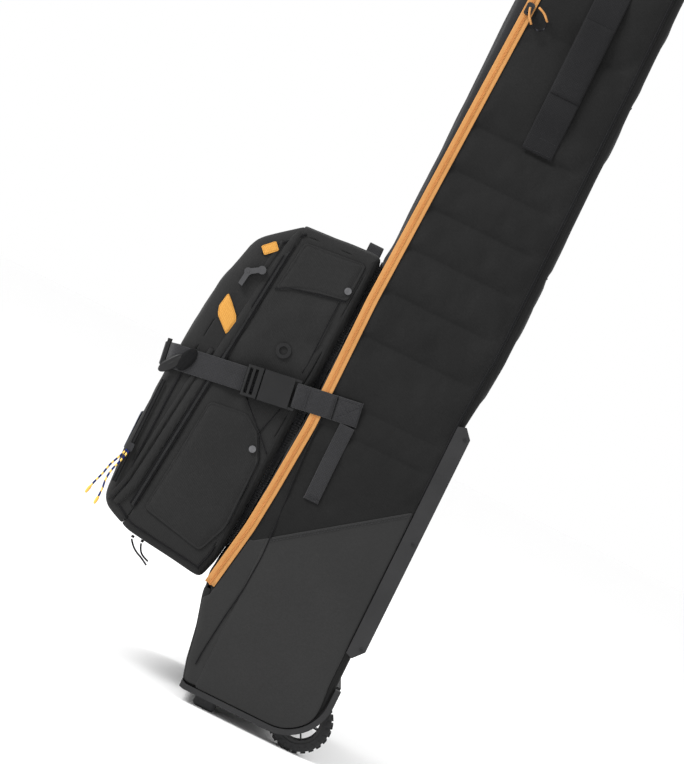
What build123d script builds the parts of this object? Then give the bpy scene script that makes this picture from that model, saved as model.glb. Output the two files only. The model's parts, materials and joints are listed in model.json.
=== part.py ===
"""Wheeled snowboard bag with a pack strapped to its front panel.

The bag stands upright on two wheels and two front feet: +Z runs up its length, +X points to its back
(the side it is pulled towards), and the near side, with the zipper, faces -Y. Millimetres.
"""

import os
from math import cos, pi, radians, sin, tan

from build123d import *

os.makedirs("parts", exist_ok=True)

# ---------------------------------------------------------------- driving dimensions
BAG_X = 121.0  # x of the plane that the side outlines are measured from
HALF_WIDTH = 185.0  # half the bag's width, across the wheels
LENGTH = 1745.0  # top of the closed bag
SHELL_BASE = 26.0  # underside of the soft shell, where it sits in the base tray
WALL = 8.0  # padded wall
INNER_FLOOR = SHELL_BASE + WALL
LID_GAP = 0.6  # between the lid and the shell along the zipper
SKIN = 1.2  # coated side panels

ZIP_X = -93.0  # zipper's line on the side, measured from the side plane at the slider's height
SLIDER_Z = 1172.0
ZIP_LEAN = 0.036  # the zipper's upper run leans back by this much of its height
ZIP_LOWER = [(-111.0, 672.0), (-111.0, 460.0), (-119.0, 345.0), (-125.0, 280.0)]  # its bends, from the top down
ZIP_END = (-143.0, 172.0)
TAPE_WIDTH = 16.0
TAPE_THICK = 1.8
SIDE_CLEAR = 0.15  # what lies on a side panel stands this far off it

WHEEL_R = 50.0
WHEEL_X, WHEEL_Z = 75.0, 50.0
WHEEL_WIDTH = 28.0
TYRE_INNER_R = 35.0
RIM_INNER_R = 30.0
HUB_R = 11.0
BEARING_R = 8.0
AXLE_R = 4.0
AXLE_CLEAR = 0.05
SPOKES = 6
TREAD_BLOCKS = 24
WELL_OUTER, WELL_INNER = 171.0, 139.0  # |y| of the wheel well's two cheeks
CHEEK = 6.0
WHEEL_Y = (WELL_OUTER + WELL_INNER) / 2
TRAY_RIM = 9.0
TRAY_TOP = 118.0

STRAP_TILT = 8.5  # the strap climbs towards the back by this angle
STRAP_START = (-50.0, 506.5)  # where the anchor is sewn to the side panel
WEBBING = 38.0
WEBBING_THICK = 2.0
STRAP_Y = 176.3  # inner face of the strap on the pack's side
BUCKLE_Y = 181.0  # inner face of the buckle

PACK_HALF = 174.0
PACK_BACK_LOW = (-148.0, 215.0)  # the pack's back leans towards the bag's front
PACK_BACK_HIGH = (-124.0, 737.0)
PACK_WALL = 5.0
PACK_SPLIT_LOW = (-304.5, 190.0)  # the line where the pack's front panel opens, past both its ends
PACK_SPLIT_TOP = (-250.0, 760.0)
PACK_GAP = 0.6


# ---------------------------------------------------------------- planes and shared outlines
def side_plane(y):
    """A plane parallel to the bag's side at this y: local x runs to the back, local y runs up."""
    return Plane(origin=(BAG_X, y, 0), x_dir=(1, 0, 0), z_dir=(0, -1, 0))


def level(z):
    """A horizontal plane at this height, measured from the side outlines' plane."""
    return Plane(origin=(BAG_X, 0, z), x_dir=(1, 0, 0), z_dir=(0, 0, 1))


def zip_x(z):
    """Where the zipper's straight upper run is at this height."""
    return ZIP_X + ZIP_LEAN * (z - SLIDER_Z)


tilt = radians(STRAP_TILT)
strap_plane = Plane(
    origin=(BAG_X + STRAP_START[0], 0, STRAP_START[1]),
    x_dir=(cos(tilt), 0, sin(tilt)),
    z_dir=(-sin(tilt), 0, cos(tilt)),
)


def finish(piece, name):
    """Labels a finished sub-part and writes it as one STEP file."""
    piece.part.label = name
    export_step(piece.part, f"parts/{name}.step")


BAG_OUTLINE = [
    (-114, SHELL_BASE), (-124, 60), (-133, 112), (-146, 160), (-148, 180), (-137, 250), (-131, 300),
    (-122, 460), (-116, 760), (-112, LENGTH),
    (110, LENGTH), (114, 1200), (114, 670), (101, 560), (101, SHELL_BASE),
]
FRONT_BASE_R, HEEL_R, CROWN_R, SIDE_R = 12.0, 68.0, 45.0, 6.0


# the closed bag's side outline, with its rounded heel over the wheels and its rounded crown
with BuildSketch() as bag_outline:
    with BuildLine():
        Polyline(*BAG_OUTLINE, close=True)
    make_face()
    low_corners = bag_outline.vertices().group_by(Axis.Y)[0].sort_by(Axis.X)
    fillet(low_corners[-1], HEEL_R)
    fillet(bag_outline.vertices().group_by(Axis.Y)[0].sort_by(Axis.X)[0], FRONT_BASE_R)
    fillet(bag_outline.vertices().group_by(Axis.Y)[-1], CROWN_R)


PACK_OUTLINE = [
    PACK_BACK_LOW, (-160, 177), (-215, 184), (-290, 193), (-345, 216), (-352, 300), (-348, 440), (-333, 600),
    (-312, 680), (-255, 728), PACK_BACK_HIGH,
]


# the closed pack's side outline
with BuildSketch() as pack_outline:
    with BuildLine():
        Polyline(*PACK_OUTLINE, close=True)
    make_face()
    fillet(pack_outline.vertices(), 18)


def front_region(line, clear):
    """Everything in front of a line of (x, z) points, moved back by the clearance."""
    with BuildLine() as region:
        Polyline(*[(x + clear, z) for x, z in line], (-700, line[-1][1]), (-700, line[0][1]), close=True)
    make_face(region.edges())


ZIP_LINE = [(zip_x(LENGTH + 40), LENGTH + 40), *ZIP_LOWER, ZIP_END]
PACK_LINE = [PACK_SPLIT_TOP, PACK_SPLIT_LOW]

# ---------------------------------------------------------------- soft shell and lid
with BuildPart() as closed_bag:
    with BuildSketch(side_plane(0)):
        add(bag_outline.sketch)
    extrude(amount=HALF_WIDTH, both=True)
    fillet(closed_bag.faces().filter_by(Axis.Y).edges(), SIDE_R)
    with BuildSketch(side_plane(0)):
        add(bag_outline.sketch)
        offset(amount=-WALL, mode=Mode.REPLACE)
    extrude(amount=HALF_WIDTH - WALL, both=True, mode=Mode.SUBTRACT)

with BuildPart() as lid_space:
    with BuildSketch(side_plane(0)):
        front_region(ZIP_LINE, 0)
    extrude(amount=HALF_WIDTH + 10, both=True)

with BuildPart() as lid_space_clear:
    with BuildSketch(side_plane(0)):
        front_region([*ZIP_LINE[:-1], (ZIP_END[0], ZIP_END[1] - LID_GAP)], LID_GAP)
    extrude(amount=HALF_WIDTH + 10, both=True)

with BuildPart() as lid_panel:
    add(closed_bag.part)
    add(lid_space.part, mode=Mode.INTERSECT)

with BuildPart() as bag_shell:
    add(closed_bag.part)
    add(lid_space_clear.part, mode=Mode.SUBTRACT)
    with Locations((BAG_X + WHEEL_X, 0, 0)):
        for near in (-1, 1):
            with Locations((0, near * (HALF_WIDTH - WALL + WELL_INNER - CHEEK) / 2, 55)):
                Box(128, HALF_WIDTH - WALL - WELL_INNER + CHEEK, 114, mode=Mode.SUBTRACT)

finish(lid_panel, "lid_panel")
finish(bag_shell, "bag_shell")

# ---------------------------------------------------------------- zipper of the bag
with BuildPart() as tape_band:
    with BuildSketch(side_plane(-HALF_WIDTH - SIDE_CLEAR)):
        with BuildLine() as zip_run:
            Polyline((zip_x(LENGTH - 42), LENGTH - 42), *ZIP_LOWER, (ZIP_END[0] + 5.6, ZIP_END[1] + 34))
        trace(zip_run.line, TAPE_WIDTH)
    extrude(amount=TAPE_THICK)

with BuildPart() as zip_tape_lid:
    add(tape_band.part)
    add(lid_space.part, mode=Mode.INTERSECT)

with BuildPart() as zip_tape_shell:
    add(tape_band.part)
    add(lid_space_clear.part, mode=Mode.SUBTRACT)

finish(zip_tape_lid, "zip_tape_lid")
finish(zip_tape_shell, "zip_tape_shell")

SLIDER_Y = HALF_WIDTH + SIDE_CLEAR + TAPE_THICK + 0.35  # |y| of the slider's inner face
with BuildPart() as zip_slider:
    with BuildSketch(side_plane(-SLIDER_Y)):
        with Locations((ZIP_X, SLIDER_Z)):
            RectangleRounded(12, 20, 4)
    extrude(amount=4.5)
    with BuildSketch(side_plane(-SLIDER_Y - 4.5)):
        with Locations((ZIP_X, SLIDER_Z)):
            RectangleRounded(5, 13, 2)
    extrude(amount=3.5)
    with BuildSketch(Plane(origin=(BAG_X + ZIP_X, -SLIDER_Y - 6.2, SLIDER_Z), x_dir=(0, 1, 0), z_dir=(1, 0, 0))):
        Circle(1.3)
    extrude(amount=6, both=True, mode=Mode.SUBTRACT)
finish(zip_slider, "zip_slider")

# ---------------------------------------------------------------- base tray, feet and heel
with BuildPart() as base_tray:
    with BuildSketch(side_plane(0)):
        add(bag_outline.sketch)
        offset(amount=TRAY_RIM, mode=Mode.REPLACE)
        add(bag_outline.sketch, mode=Mode.SUBTRACT)
        with Locations((-20, TRAY_TOP + 1000)):
            Rectangle(800, 2000, mode=Mode.SUBTRACT)
        with Locations((-211, 100)):
            Rectangle(192, 400, mode=Mode.SUBTRACT)
    extrude(amount=HALF_WIDTH - 1, both=True)
    for near in (-1, 1):
        # the wheel's slot, open downwards and to the back
        with Locations((BAG_X + WHEEL_X + 20, near * WHEEL_Y, 50)):
            Box(156, WELL_OUTER - WELL_INNER, 220, mode=Mode.SUBTRACT)
finish(base_tray, "base_tray")

WELL_FRONT, WELL_CEILING = 13.0, 106.0
with BuildPart() as wheel_housings:
    for near in (-1, 1):
        # two cheeks that carry the axle
        for y_low in (WELL_INNER - CHEEK + 0.2, WELL_OUTER):
            with BuildSketch(side_plane(near * (y_low + (CHEEK - 0.4) / 2))):
                add(bag_outline.sketch)
                offset(amount=-0.2, mode=Mode.REPLACE)
                with Locations(((WELL_FRONT + 120) / 2, (SHELL_BASE + WELL_CEILING + 5) / 2)):
                    Rectangle(120 - WELL_FRONT, WELL_CEILING + 5 - SHELL_BASE, mode=Mode.INTERSECT)
                with Locations((WHEEL_X, WHEEL_Z)):
                    Circle(AXLE_R, mode=Mode.SUBTRACT)
            extrude(amount=(CHEEK - 0.4) / 2, both=True)
        # the well's front wall and ceiling
        with Locations((BAG_X + WELL_FRONT + 2.5, near * WHEEL_Y, (SHELL_BASE + WELL_CEILING) / 2 + 4.3)):
            Box(5, WELL_OUTER - WELL_INNER + 1, WELL_CEILING - SHELL_BASE - 4)
        with Locations((BAG_X + (WELL_FRONT + 100) / 2, near * WHEEL_Y, WELL_CEILING + 2.5)):
            Box(100 - WELL_FRONT, WELL_OUTER - WELL_INNER + 1, 5)
finish(wheel_housings, "wheel_housings")

FOOT_X, FOOT_LENGTH, FOOT_WIDTH = -68.0, 36.0, 64.0
TRAY_UNDER = SHELL_BASE - TRAY_RIM
with BuildPart() as front_feet:
    for near in (-1, 1):
        with BuildSketch(Plane(origin=(BAG_X + FOOT_X, near * 132, TRAY_UNDER), z_dir=(0, 0, -1))):
            RectangleRounded(FOOT_LENGTH, FOOT_WIDTH, 8)
        extrude(amount=TRAY_UNDER)
    chamfer(front_feet.faces().filter_by(Plane.XY).group_by(Axis.Z)[0].edges(), 3)
finish(front_feet, "front_feet")

# ---------------------------------------------------------------- wheels
def wheel(name, y):
    """One wheel at this y: rubber tyre with tread blocks, spoked rim, and its pair of bearings."""
    with BuildPart() as tyre:
        with BuildSketch(side_plane(y)):
            with Locations((WHEEL_X, WHEEL_Z)):
                Circle(WHEEL_R - 2.5)
                Circle(TYRE_INNER_R, mode=Mode.SUBTRACT)
        extrude(amount=WHEEL_WIDTH / 2, both=True)
        fillet(tyre.edges().filter_by(GeomType.CIRCLE).filter_by(lambda e: e.radius > TYRE_INNER_R + 1), 5)
        with BuildSketch(side_plane(y)):
            with Locations((WHEEL_X, WHEEL_Z)):
                with PolarLocations(WHEEL_R - 3, TREAD_BLOCKS):
                    Rectangle(6, 2 * (WHEEL_R - 3) * sin(radians(180 / TREAD_BLOCKS)) * 0.62)
                Circle(WHEEL_R, mode=Mode.INTERSECT)
        extrude(amount=WHEEL_WIDTH / 2 - 4, both=True)
    finish(tyre, f"{name}_tyre")

    with BuildPart() as rim:
        with BuildSketch(side_plane(y)):
            with Locations((WHEEL_X, WHEEL_Z)):
                Circle(TYRE_INNER_R)
                Circle(RIM_INNER_R, mode=Mode.SUBTRACT)
        extrude(amount=WHEEL_WIDTH / 2 - 2, both=True)
        with BuildSketch(side_plane(y)):
            with Locations((WHEEL_X, WHEEL_Z)):
                Circle(HUB_R)
        extrude(amount=WHEEL_WIDTH / 2 - 1, both=True)
        with BuildSketch(side_plane(y)):
            with Locations((WHEEL_X, WHEEL_Z)):
                with PolarLocations((HUB_R + RIM_INNER_R) / 2, SPOKES, start_angle=-64):
                    Rectangle(RIM_INNER_R - HUB_R + 2, 2.4)
        extrude(amount=WHEEL_WIDTH / 2 - 6, both=True)
        with BuildSketch(side_plane(y)):
            with Locations((WHEEL_X, WHEEL_Z)):
                Circle(BEARING_R)
        extrude(amount=WHEEL_WIDTH, both=True, mode=Mode.SUBTRACT)
    finish(rim, f"{name}_rim")

    with BuildPart() as bearings:
        for out in (-1, 1):
            with BuildSketch(side_plane(y + out * (WHEEL_WIDTH / 2 - 3.5))):
                with Locations((WHEEL_X, WHEEL_Z)):
                    Circle(BEARING_R)
                    Circle(AXLE_R + AXLE_CLEAR, mode=Mode.SUBTRACT)
            extrude(amount=2.5, both=True)
    finish(bearings, f"{name}_bearings")


wheel("near_wheel", -WHEEL_Y)
wheel("far_wheel", WHEEL_Y)

with BuildPart() as axles:
    for near in (-1, 1):
        with BuildSketch(side_plane(near * WHEEL_Y)):
            with Locations((WHEEL_X, WHEEL_Z)):
                Circle(AXLE_R)
        extrude(amount=(WELL_OUTER - WELL_INNER) / 2 + CHEEK - 0.3, both=True)
finish(axles, "axles")

# ---------------------------------------------------------------- back of the bag
SKID_LOW, SKID_HIGH, SKID_DEPTH, SKID_WRAP = 172.0, 562.0, 15.0, 11.0
SKID_WALL = 3.0
with BuildPart() as rear_skid_plate:
    with BuildSketch(side_plane(0)):
        with BuildLine():
            Polyline((101 - SKID_WRAP, SKID_LOW + 4), (101.2, SKID_LOW), (101 + SKID_DEPTH, SKID_LOW + 17),
                     (101 + SKID_DEPTH, SKID_HIGH - 15), (103, SKID_HIGH), (101 - SKID_WRAP, SKID_HIGH - 4),
                     close=True)
        make_face()
    extrude(amount=HALF_WIDTH + SKID_WALL + 0.3, both=True)
    with BuildSketch(side_plane(0)):
        with Locations(((101 - SKID_WRAP - 20 + 101 + SKID_DEPTH - SKID_WALL) / 2, (SKID_LOW + SKID_HIGH) / 2)):
            Rectangle(SKID_WRAP + SKID_DEPTH - SKID_WALL + 20, SKID_HIGH - SKID_LOW + 40)
    extrude(amount=HALF_WIDTH + 0.3, both=True, mode=Mode.SUBTRACT)
finish(rear_skid_plate, "rear_skid_plate")

TOP_GRIP_HALF = 80.0
with BuildPart() as rivets:
    for near in (-1, 1):
        for z in (SKID_LOW + 18, (SKID_LOW + SKID_HIGH) / 2, SKID_HIGH - 18):
            with BuildSketch(side_plane(near * (HALF_WIDTH + SKID_WALL + 0.35))):
                with Locations((108, z)):
                    Circle(2.6)
            extrude(amount=-near * 1.4)
        # the top handle's ends
        with Locations((BAG_X - 10, near * (TOP_GRIP_HALF + 15), LENGTH + 5.1)):
            Cylinder(2.6, 1.6)
finish(rivets, "rivets")

with BuildPart() as skid_pad:
    with Locations((BAG_X + 101.4 + (SKID_DEPTH - SKID_WALL - 0.8) / 2, 0, (SKID_LOW + SKID_HIGH) / 2)):
        Box(SKID_DEPTH - SKID_WALL - 0.8, 2 * HALF_WIDTH - 10, SKID_HIGH - SKID_LOW - 60)
finish(skid_pad, "skid_pad")

with BuildPart() as back_stays:
    for near in (-1, 1):
        with Locations((BAG_X + 100.6, near * 92, 1190)):
            Box(3, 30, 980)
finish(back_stays, "back_stays")

with BuildPart() as base_board:
    with Locations((BAG_X - 45, 0, INNER_FLOOR + 1.7)):
        Box(105, 350, 3)
finish(base_board, "base_board")

with BuildPart() as inner_straps:
    for z in (720, 1280):
        with Locations((BAG_X + 97.4, 0, z)):
            Box(2, 330, 38)
finish(inner_straps, "inner_straps")

with BuildPart() as hinge_piping:
    with BuildSketch(Plane(origin=(BAG_X + zip_x(600), HALF_WIDTH + 2.6, 600), z_dir=(ZIP_LEAN, 0, 1))):
        Circle(2.2)
    extrude(amount=LENGTH - 45 - 600)
finish(hinge_piping, "hinge_piping")

# ---------------------------------------------------------------- coated lower side panels
ARMOR_SLOPE = [(-112, 266), (89, 413)]


def side_armor(name, near):
    """Smooth coated panel over the bag's lower side, cut along a slope at its top."""
    with BuildPart() as armor:
        with BuildSketch(side_plane(near * (HALF_WIDTH + SIDE_CLEAR))):
            add(bag_outline.sketch)
            offset(amount=-1.5, mode=Mode.REPLACE)
            with BuildLine():
                Polyline((-94, 0), (-94, 279), ARMOR_SLOPE[1], (89, 0), close=True)
            make_face(mode=Mode.INTERSECT)
        extrude(amount=-near * SKIN)
    finish(armor, name)


side_armor("near_side_armor", -1)
side_armor("far_side_armor", 1)


# ---------------------------------------------------------------- side carry handles and top handle
HANDLE_X, HANDLE_LOW, HANDLE_HIGH, HANDLE_WIDTH = 14.0, 978.0, 1290.0, 50.0
HANDLE_GAP, HANDLE_THICK = 10.0, 5.0


def side_handle(name, near):
    """Padded webbing grip along the side, sewn flat at both ends and arched between them."""
    with BuildPart() as handle:
        face = near * (HALF_WIDTH + SIDE_CLEAR)
        with BuildSketch(Plane(origin=(BAG_X + HANDLE_X, face, 0), x_dir=(0, near, 0), z_dir=(near, 0, 0))):
            with BuildLine():
                low, high = HANDLE_LOW, HANDLE_HIGH
                outer = HANDLE_GAP + HANDLE_THICK
                Polyline((0, low), (4, low), (4, low + 32), (outer, low + 62), (outer, high - 62), (4, high - 32),
                         (4, high), (0, high), (0, high - 34), (HANDLE_GAP, high - 64), (HANDLE_GAP, low + 64),
                         (0, low + 34), close=True)
            make_face()
        extrude(amount=HANDLE_WIDTH / 2, both=True)
    finish(handle, name)


side_handle("near_side_handle", -1)
side_handle("far_side_handle", 1)

with BuildPart() as top_handle:
    with BuildSketch(Plane(origin=(BAG_X - 10, 0, LENGTH + 0.2), x_dir=(0, 1, 0), z_dir=(1, 0, 0))):
        with BuildLine():
            half = TOP_GRIP_HALF
            Polyline((-half - 26, 0), (-half - 26, 4), (-half - 2, 4), (-half + 16, 38), (half - 16, 38),
                     (half + 2, 4), (half + 26, 4), (half + 26, 0), (half - 2, 0), (half - 20, 33),
                     (-half + 20, 33), (-half + 2, 0), close=True)
        make_face()
    extrude(amount=19, both=True)
finish(top_handle, "top_handle")


# ---------------------------------------------------------------- straps and buckles
FEMALE_FROM, FEMALE_TO = -157.0, -99.0  # along the strap plane
TONGUE_FROM = -184.0
BUCKLE_HALF, BUCKLE_THICK = 24.0, 11.0
CAVITY_HALF, CAVITY_THICK = 19.5, 6.6
PRONG_LENGTH = 24.0


def anchor_webbing(name, near, sewn_end):
    """Webbing from its sewn end, round the buckle's end bar and back on itself."""
    bar_y = BUCKLE_Y + BUCKLE_THICK / 2
    bar_end = FEMALE_TO - 4.6
    run = [*sewn_end, (FEMALE_TO + 7, bar_y + 3.9), (bar_end, bar_y + 3.9), (bar_end, bar_y - 3.9),
           (FEMALE_TO + 8, bar_y - 3.9)]
    with BuildPart() as webbing:
        with BuildSketch(strap_plane):
            with BuildLine() as route:
                Polyline(*[(t, near * y) for t, y in run])
            trace(route.line, WEBBING_THICK)
        extrude(amount=WEBBING / 2, both=True)
    finish(webbing, name)


def buckle_socket(name, near):
    """Female half of a side-release buckle: an open-ended box with a side window for each prong and an end bar."""
    middle = near * (BUCKLE_Y + BUCKLE_THICK / 2)
    with BuildPart() as socket:
        with BuildSketch(strap_plane):
            with Locations(((FEMALE_FROM + FEMALE_TO - 10) / 2, middle)):
                Rectangle(FEMALE_TO - 10 - FEMALE_FROM, BUCKLE_THICK)
        extrude(amount=BUCKLE_HALF, both=True)
        with BuildSketch(strap_plane):
            with Locations((FEMALE_FROM + 17, middle)):
                Rectangle(34.1, CAVITY_THICK)
        extrude(amount=CAVITY_HALF, both=True, mode=Mode.SUBTRACT)
        # the prongs' windows, through both narrow sides
        with BuildSketch(strap_plane):
            with Locations((FEMALE_FROM + 20, middle)):
                Rectangle(13, CAVITY_THICK - 1)
        extrude(amount=BUCKLE_HALF + 1, both=True, mode=Mode.SUBTRACT)
        # two ears with the webbing's bar between them
        for side in (-1, 1):
            with BuildSketch(strap_plane.offset(side * (BUCKLE_HALF - 1.8))):
                with Locations((FEMALE_TO - 6, middle)):
                    Rectangle(12, BUCKLE_THICK - 3)
            extrude(amount=1.8, both=True)
        with BuildSketch(strap_plane):
            with Locations((FEMALE_TO - 1.6, middle)):
                Rectangle(2.6, 5)
        extrude(amount=BUCKLE_HALF - 3, both=True)
    finish(socket, name)


def buckle_tongue(name, near):
    """Male half: a webbing adjuster with two slots, a guide in the middle and a sprung prong each side of it."""
    middle = near * (BUCKLE_Y + BUCKLE_THICK / 2)
    frame_end = FEMALE_FROM - 0.5
    with BuildPart() as tongue:
        with BuildSketch(strap_plane):
            with Locations(((TONGUE_FROM + frame_end) / 2, middle)):
                RectangleRounded(frame_end - TONGUE_FROM, BUCKLE_THICK - 2, 3)
        extrude(amount=BUCKLE_HALF, both=True)
        for slot in (TONGUE_FROM + 6.5, TONGUE_FROM + 15.5):
            with BuildSketch(strap_plane):
                with Locations((slot, middle)):
                    Rectangle(5, BUCKLE_THICK + 2)
            extrude(amount=WEBBING / 2 + 1, both=True, mode=Mode.SUBTRACT)
        for offset_n, width in ((0, 5), (-13, 5), (13, 5)):
            with BuildSketch(strap_plane.offset(offset_n)):
                with Locations((frame_end + PRONG_LENGTH / 2 - 1, middle)):
                    Rectangle(PRONG_LENGTH + 2, 4.4)
            extrude(amount=width / 2, both=True)
    finish(tongue, name)


SEWN_Y = HALF_WIDTH + SIDE_CLEAR + 1.15  # middle of webbing that is sewn flat to the side
FREE_Y = SEWN_Y + 2.2  # and of webbing that crosses over the zipper
ANCHOR_FOLD = -40.0  # along the strap plane, where the near anchor stops being sewn down
anchor_webbing("near_anchor_webbing", -1, [(ANCHOR_FOLD - 0.5, FREE_Y), (-78, FREE_Y)])
anchor_webbing("far_anchor_webbing", 1, [(-78, 128), (-78, 180), (-83, BUCKLE_Y + BUCKLE_THICK / 2 + 3.9)])

with BuildPart() as near_anchor_patch:
    with BuildSketch(strap_plane):
        with Locations((ANCHOR_FOLD / 2, -SEWN_Y)):
            Rectangle(-ANCHOR_FOLD, WEBBING_THICK)
    extrude(amount=WEBBING / 2, both=True)
finish(near_anchor_patch, "near_anchor_patch")

buckle_socket("near_buckle_socket", -1)
buckle_socket("far_buckle_socket", 1)
buckle_tongue("near_buckle_tongue", -1)
buckle_tongue("far_buckle_tongue", 1)

ANCHOR_TAIL_LOW = 358.0
with BuildPart() as near_anchor_tail:
    with BuildSketch(side_plane(-HALF_WIDTH - SIDE_CLEAR)):
        with Locations((-60, (ANCHOR_TAIL_LOW + 484) / 2)):
            Rectangle(24, 484 - ANCHOR_TAIL_LOW)
    extrude(amount=2)
finish(near_anchor_tail, "near_anchor_tail")

STRAP_FRONT = -307.5  # along the strap plane, where it crosses the pack's front
with BuildPart() as pack_strap:
    side = STRAP_Y + WEBBING_THICK / 2
    front = STRAP_FRONT - WEBBING_THICK / 2
    behind_frame = BUCKLE_Y - 0.6
    near_run = [(TONGUE_FROM + 21, behind_frame), (TONGUE_FROM - 6, behind_frame), (TONGUE_FROM - 31, side),
                (front + 6.5, side), (front, side - 6.5)]
    with BuildSketch(strap_plane):
        with BuildLine() as strap_route:
            Polyline(*[(t, -y) for t, y in near_run], *reversed(near_run))
        trace(strap_route.line, WEBBING_THICK)
    extrude(amount=WEBBING / 2, both=True)
finish(pack_strap, "pack_strap")

# tri-glide at the pack's front corner, with the folded end of the strap held in it
GLIDE_T = STRAP_FRONT - WEBBING_THICK - 0.3
with BuildPart() as strap_glide:
    with BuildSketch(strap_plane):
        with Locations((GLIDE_T - 2.5, -STRAP_Y + 34)):
            Rectangle(5, 30)
    extrude(amount=BUCKLE_HALF, both=True)
    for y_slot in (-STRAP_Y + 27, -STRAP_Y + 41):
        with BuildSketch(strap_plane):
            with Locations((GLIDE_T - 2.5, y_slot)):
                Rectangle(7, 7)
        extrude(amount=WEBBING / 2 + 1, both=True, mode=Mode.SUBTRACT)
finish(strap_glide, "strap_glide")

# ---------------------------------------------------------------- the pack
with BuildPart() as closed_pack:
    with BuildSketch(side_plane(0)):
        add(pack_outline.sketch)
    extrude(amount=PACK_HALF, both=True)
    fillet(closed_pack.faces().filter_by(Axis.Y).edges(), 12)
    with BuildSketch(side_plane(0)):
        add(pack_outline.sketch)
        offset(amount=-PACK_WALL, mode=Mode.REPLACE)
    extrude(amount=PACK_HALF - PACK_WALL, both=True, mode=Mode.SUBTRACT)

with BuildPart() as panel_space:
    with BuildSketch(side_plane(0)):
        front_region(PACK_LINE, 0)
    extrude(amount=PACK_HALF + 10, both=True)

with BuildPart() as panel_space_clear:
    with BuildSketch(side_plane(0)):
        front_region(PACK_LINE, PACK_GAP)
    extrude(amount=PACK_HALF + 10, both=True)

with BuildPart() as pack_panel:
    add(closed_pack.part)
    add(panel_space.part, mode=Mode.INTERSECT)

with BuildPart() as pack_body:
    add(closed_pack.part)
    add(panel_space_clear.part, mode=Mode.SUBTRACT)

finish(pack_panel, "pack_panel")
finish(pack_body, "pack_body")

PAD_Z, PAD_THICK = 470.0, 7.0
back_run = Vector(PACK_BACK_HIGH[0] - PACK_BACK_LOW[0], 0, PACK_BACK_HIGH[1] - PACK_BACK_LOW[1]).normalized()
pad_x = PACK_BACK_LOW[0] + (PAD_Z - PACK_BACK_LOW[1]) * back_run.X / back_run.Z + 0.8
with BuildPart() as pack_back_pad:
    with BuildSketch(Plane(origin=(BAG_X + pad_x, 0, PAD_Z), x_dir=(0, 1, 0), z_dir=(back_run.Z, 0, -back_run.X))):
        RectangleRounded(250, 440, 30)
    extrude(amount=PAD_THICK)
finish(pack_back_pad, "pack_back_pad")

with BuildPart() as pack_haul_loop:
    with BuildSketch(Plane(origin=(BAG_X - 143, 0, 737.3), x_dir=(0, 1, 0), z_dir=(1, 0, 0))):
        with BuildLine():
            Polyline((-60, 0), (-60, 3), (-42, 3), (-28, 24), (28, 24), (42, 3), (60, 3), (60, 0), (40, 0),
                     (26, 20.5), (-26, 20.5), (-40, 0), close=True)
        make_face()
    extrude(amount=12, both=True)
finish(pack_haul_loop, "pack_haul_loop")

with BuildPart() as pack_side_pocket:
    with BuildSketch(side_plane(-PACK_HALF - SIDE_CLEAR)):
        with BuildLine():
            Polyline((-282, 236), (-178, 214), (-158, 262), (-156, 372), (-178, 414), (-204, 434), (-264, 426),
                     close=True)
        make_face()
        fillet(vertices(), 6)
    extrude(amount=1.6)
finish(pack_side_pocket, "pack_side_pocket")

with BuildPart() as pack_side_flap:
    with BuildSketch(side_plane(-PACK_HALF - SIDE_CLEAR)):
        with BuildLine():
            Polyline((-241, 706), (-251, 621), (-222, 636), (-188, 645), (-144, 654), (-142, 716), close=True)
        make_face()
        fillet(vertices(), 3)
    extrude(amount=1.6)
finish(pack_side_flap, "pack_side_flap")

with BuildPart() as pack_snaps:
    for x, z in ((-150, 668), (-174, 389)):
        with BuildSketch(side_plane(-PACK_HALF - SIDE_CLEAR - 1.75)):
            with Locations((x, z)):
                Circle(5.5)
        extrude(amount=2)
finish(pack_snaps, "pack_snaps")

with BuildPart() as pack_eyelet:
    with BuildSketch(side_plane(-PACK_HALF - SIDE_CLEAR)):
        with Locations((-198, 544)):
            Circle(12)
            Circle(6.5, mode=Mode.SUBTRACT)
    extrude(amount=2.4)
finish(pack_eyelet, "pack_eyelet")


def pack_split_x(z):
    """x of the pack's opening line at this height."""
    (x_top, z_top), (x_low, z_low) = PACK_LINE
    return x_low + (x_top - x_low) * (z - z_low) / (z_top - z_low)


def pack_zip_strip(name, shift):
    """Zipper tape of the pack's opening on its near side, in front of or behind the opening line."""
    low, high = 238.0, 690.0
    with BuildPart() as strip:
        with BuildSketch(side_plane(-PACK_HALF - SIDE_CLEAR)):
            with BuildLine() as run:
                Line((pack_split_x(low) + shift, low), (pack_split_x(high) + shift, high))
            trace(run.line, 7)
        extrude(amount=1.4)
    finish(strip, name)


pack_zip_strip("pack_zip_tape_body", 4.4)
pack_zip_strip("pack_zip_tape_panel", -3.9)

with BuildPart() as pack_front_patch:
    with BuildSketch(Plane(origin=(BAG_X - 352.4, -98, 333), x_dir=(0, 1, 0), z_dir=(-1, 0, 0.0))):
        RectangleRounded(78, 62, 5)
    extrude(amount=1.6)
finish(pack_front_patch, "pack_front_patch")

with BuildPart() as gold_tab:
    with BuildSketch(side_plane(-PACK_HALF - SIDE_CLEAR)):
        with Locations(Location((-285.5, 675.5), 42)):
            Rectangle(26, 18)
    extrude(amount=1.5)
finish(gold_tab, "gold_tab")

with BuildPart() as gold_loop:
    with BuildSketch(side_plane(-PACK_HALF - SIDE_CLEAR)):
        with BuildLine():
            Polyline((-312, 586), (-314, 550), (-287, 527), (-283, 553), close=True)
        make_face()
    extrude(amount=1.8)
finish(gold_loop, "gold_loop")

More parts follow.
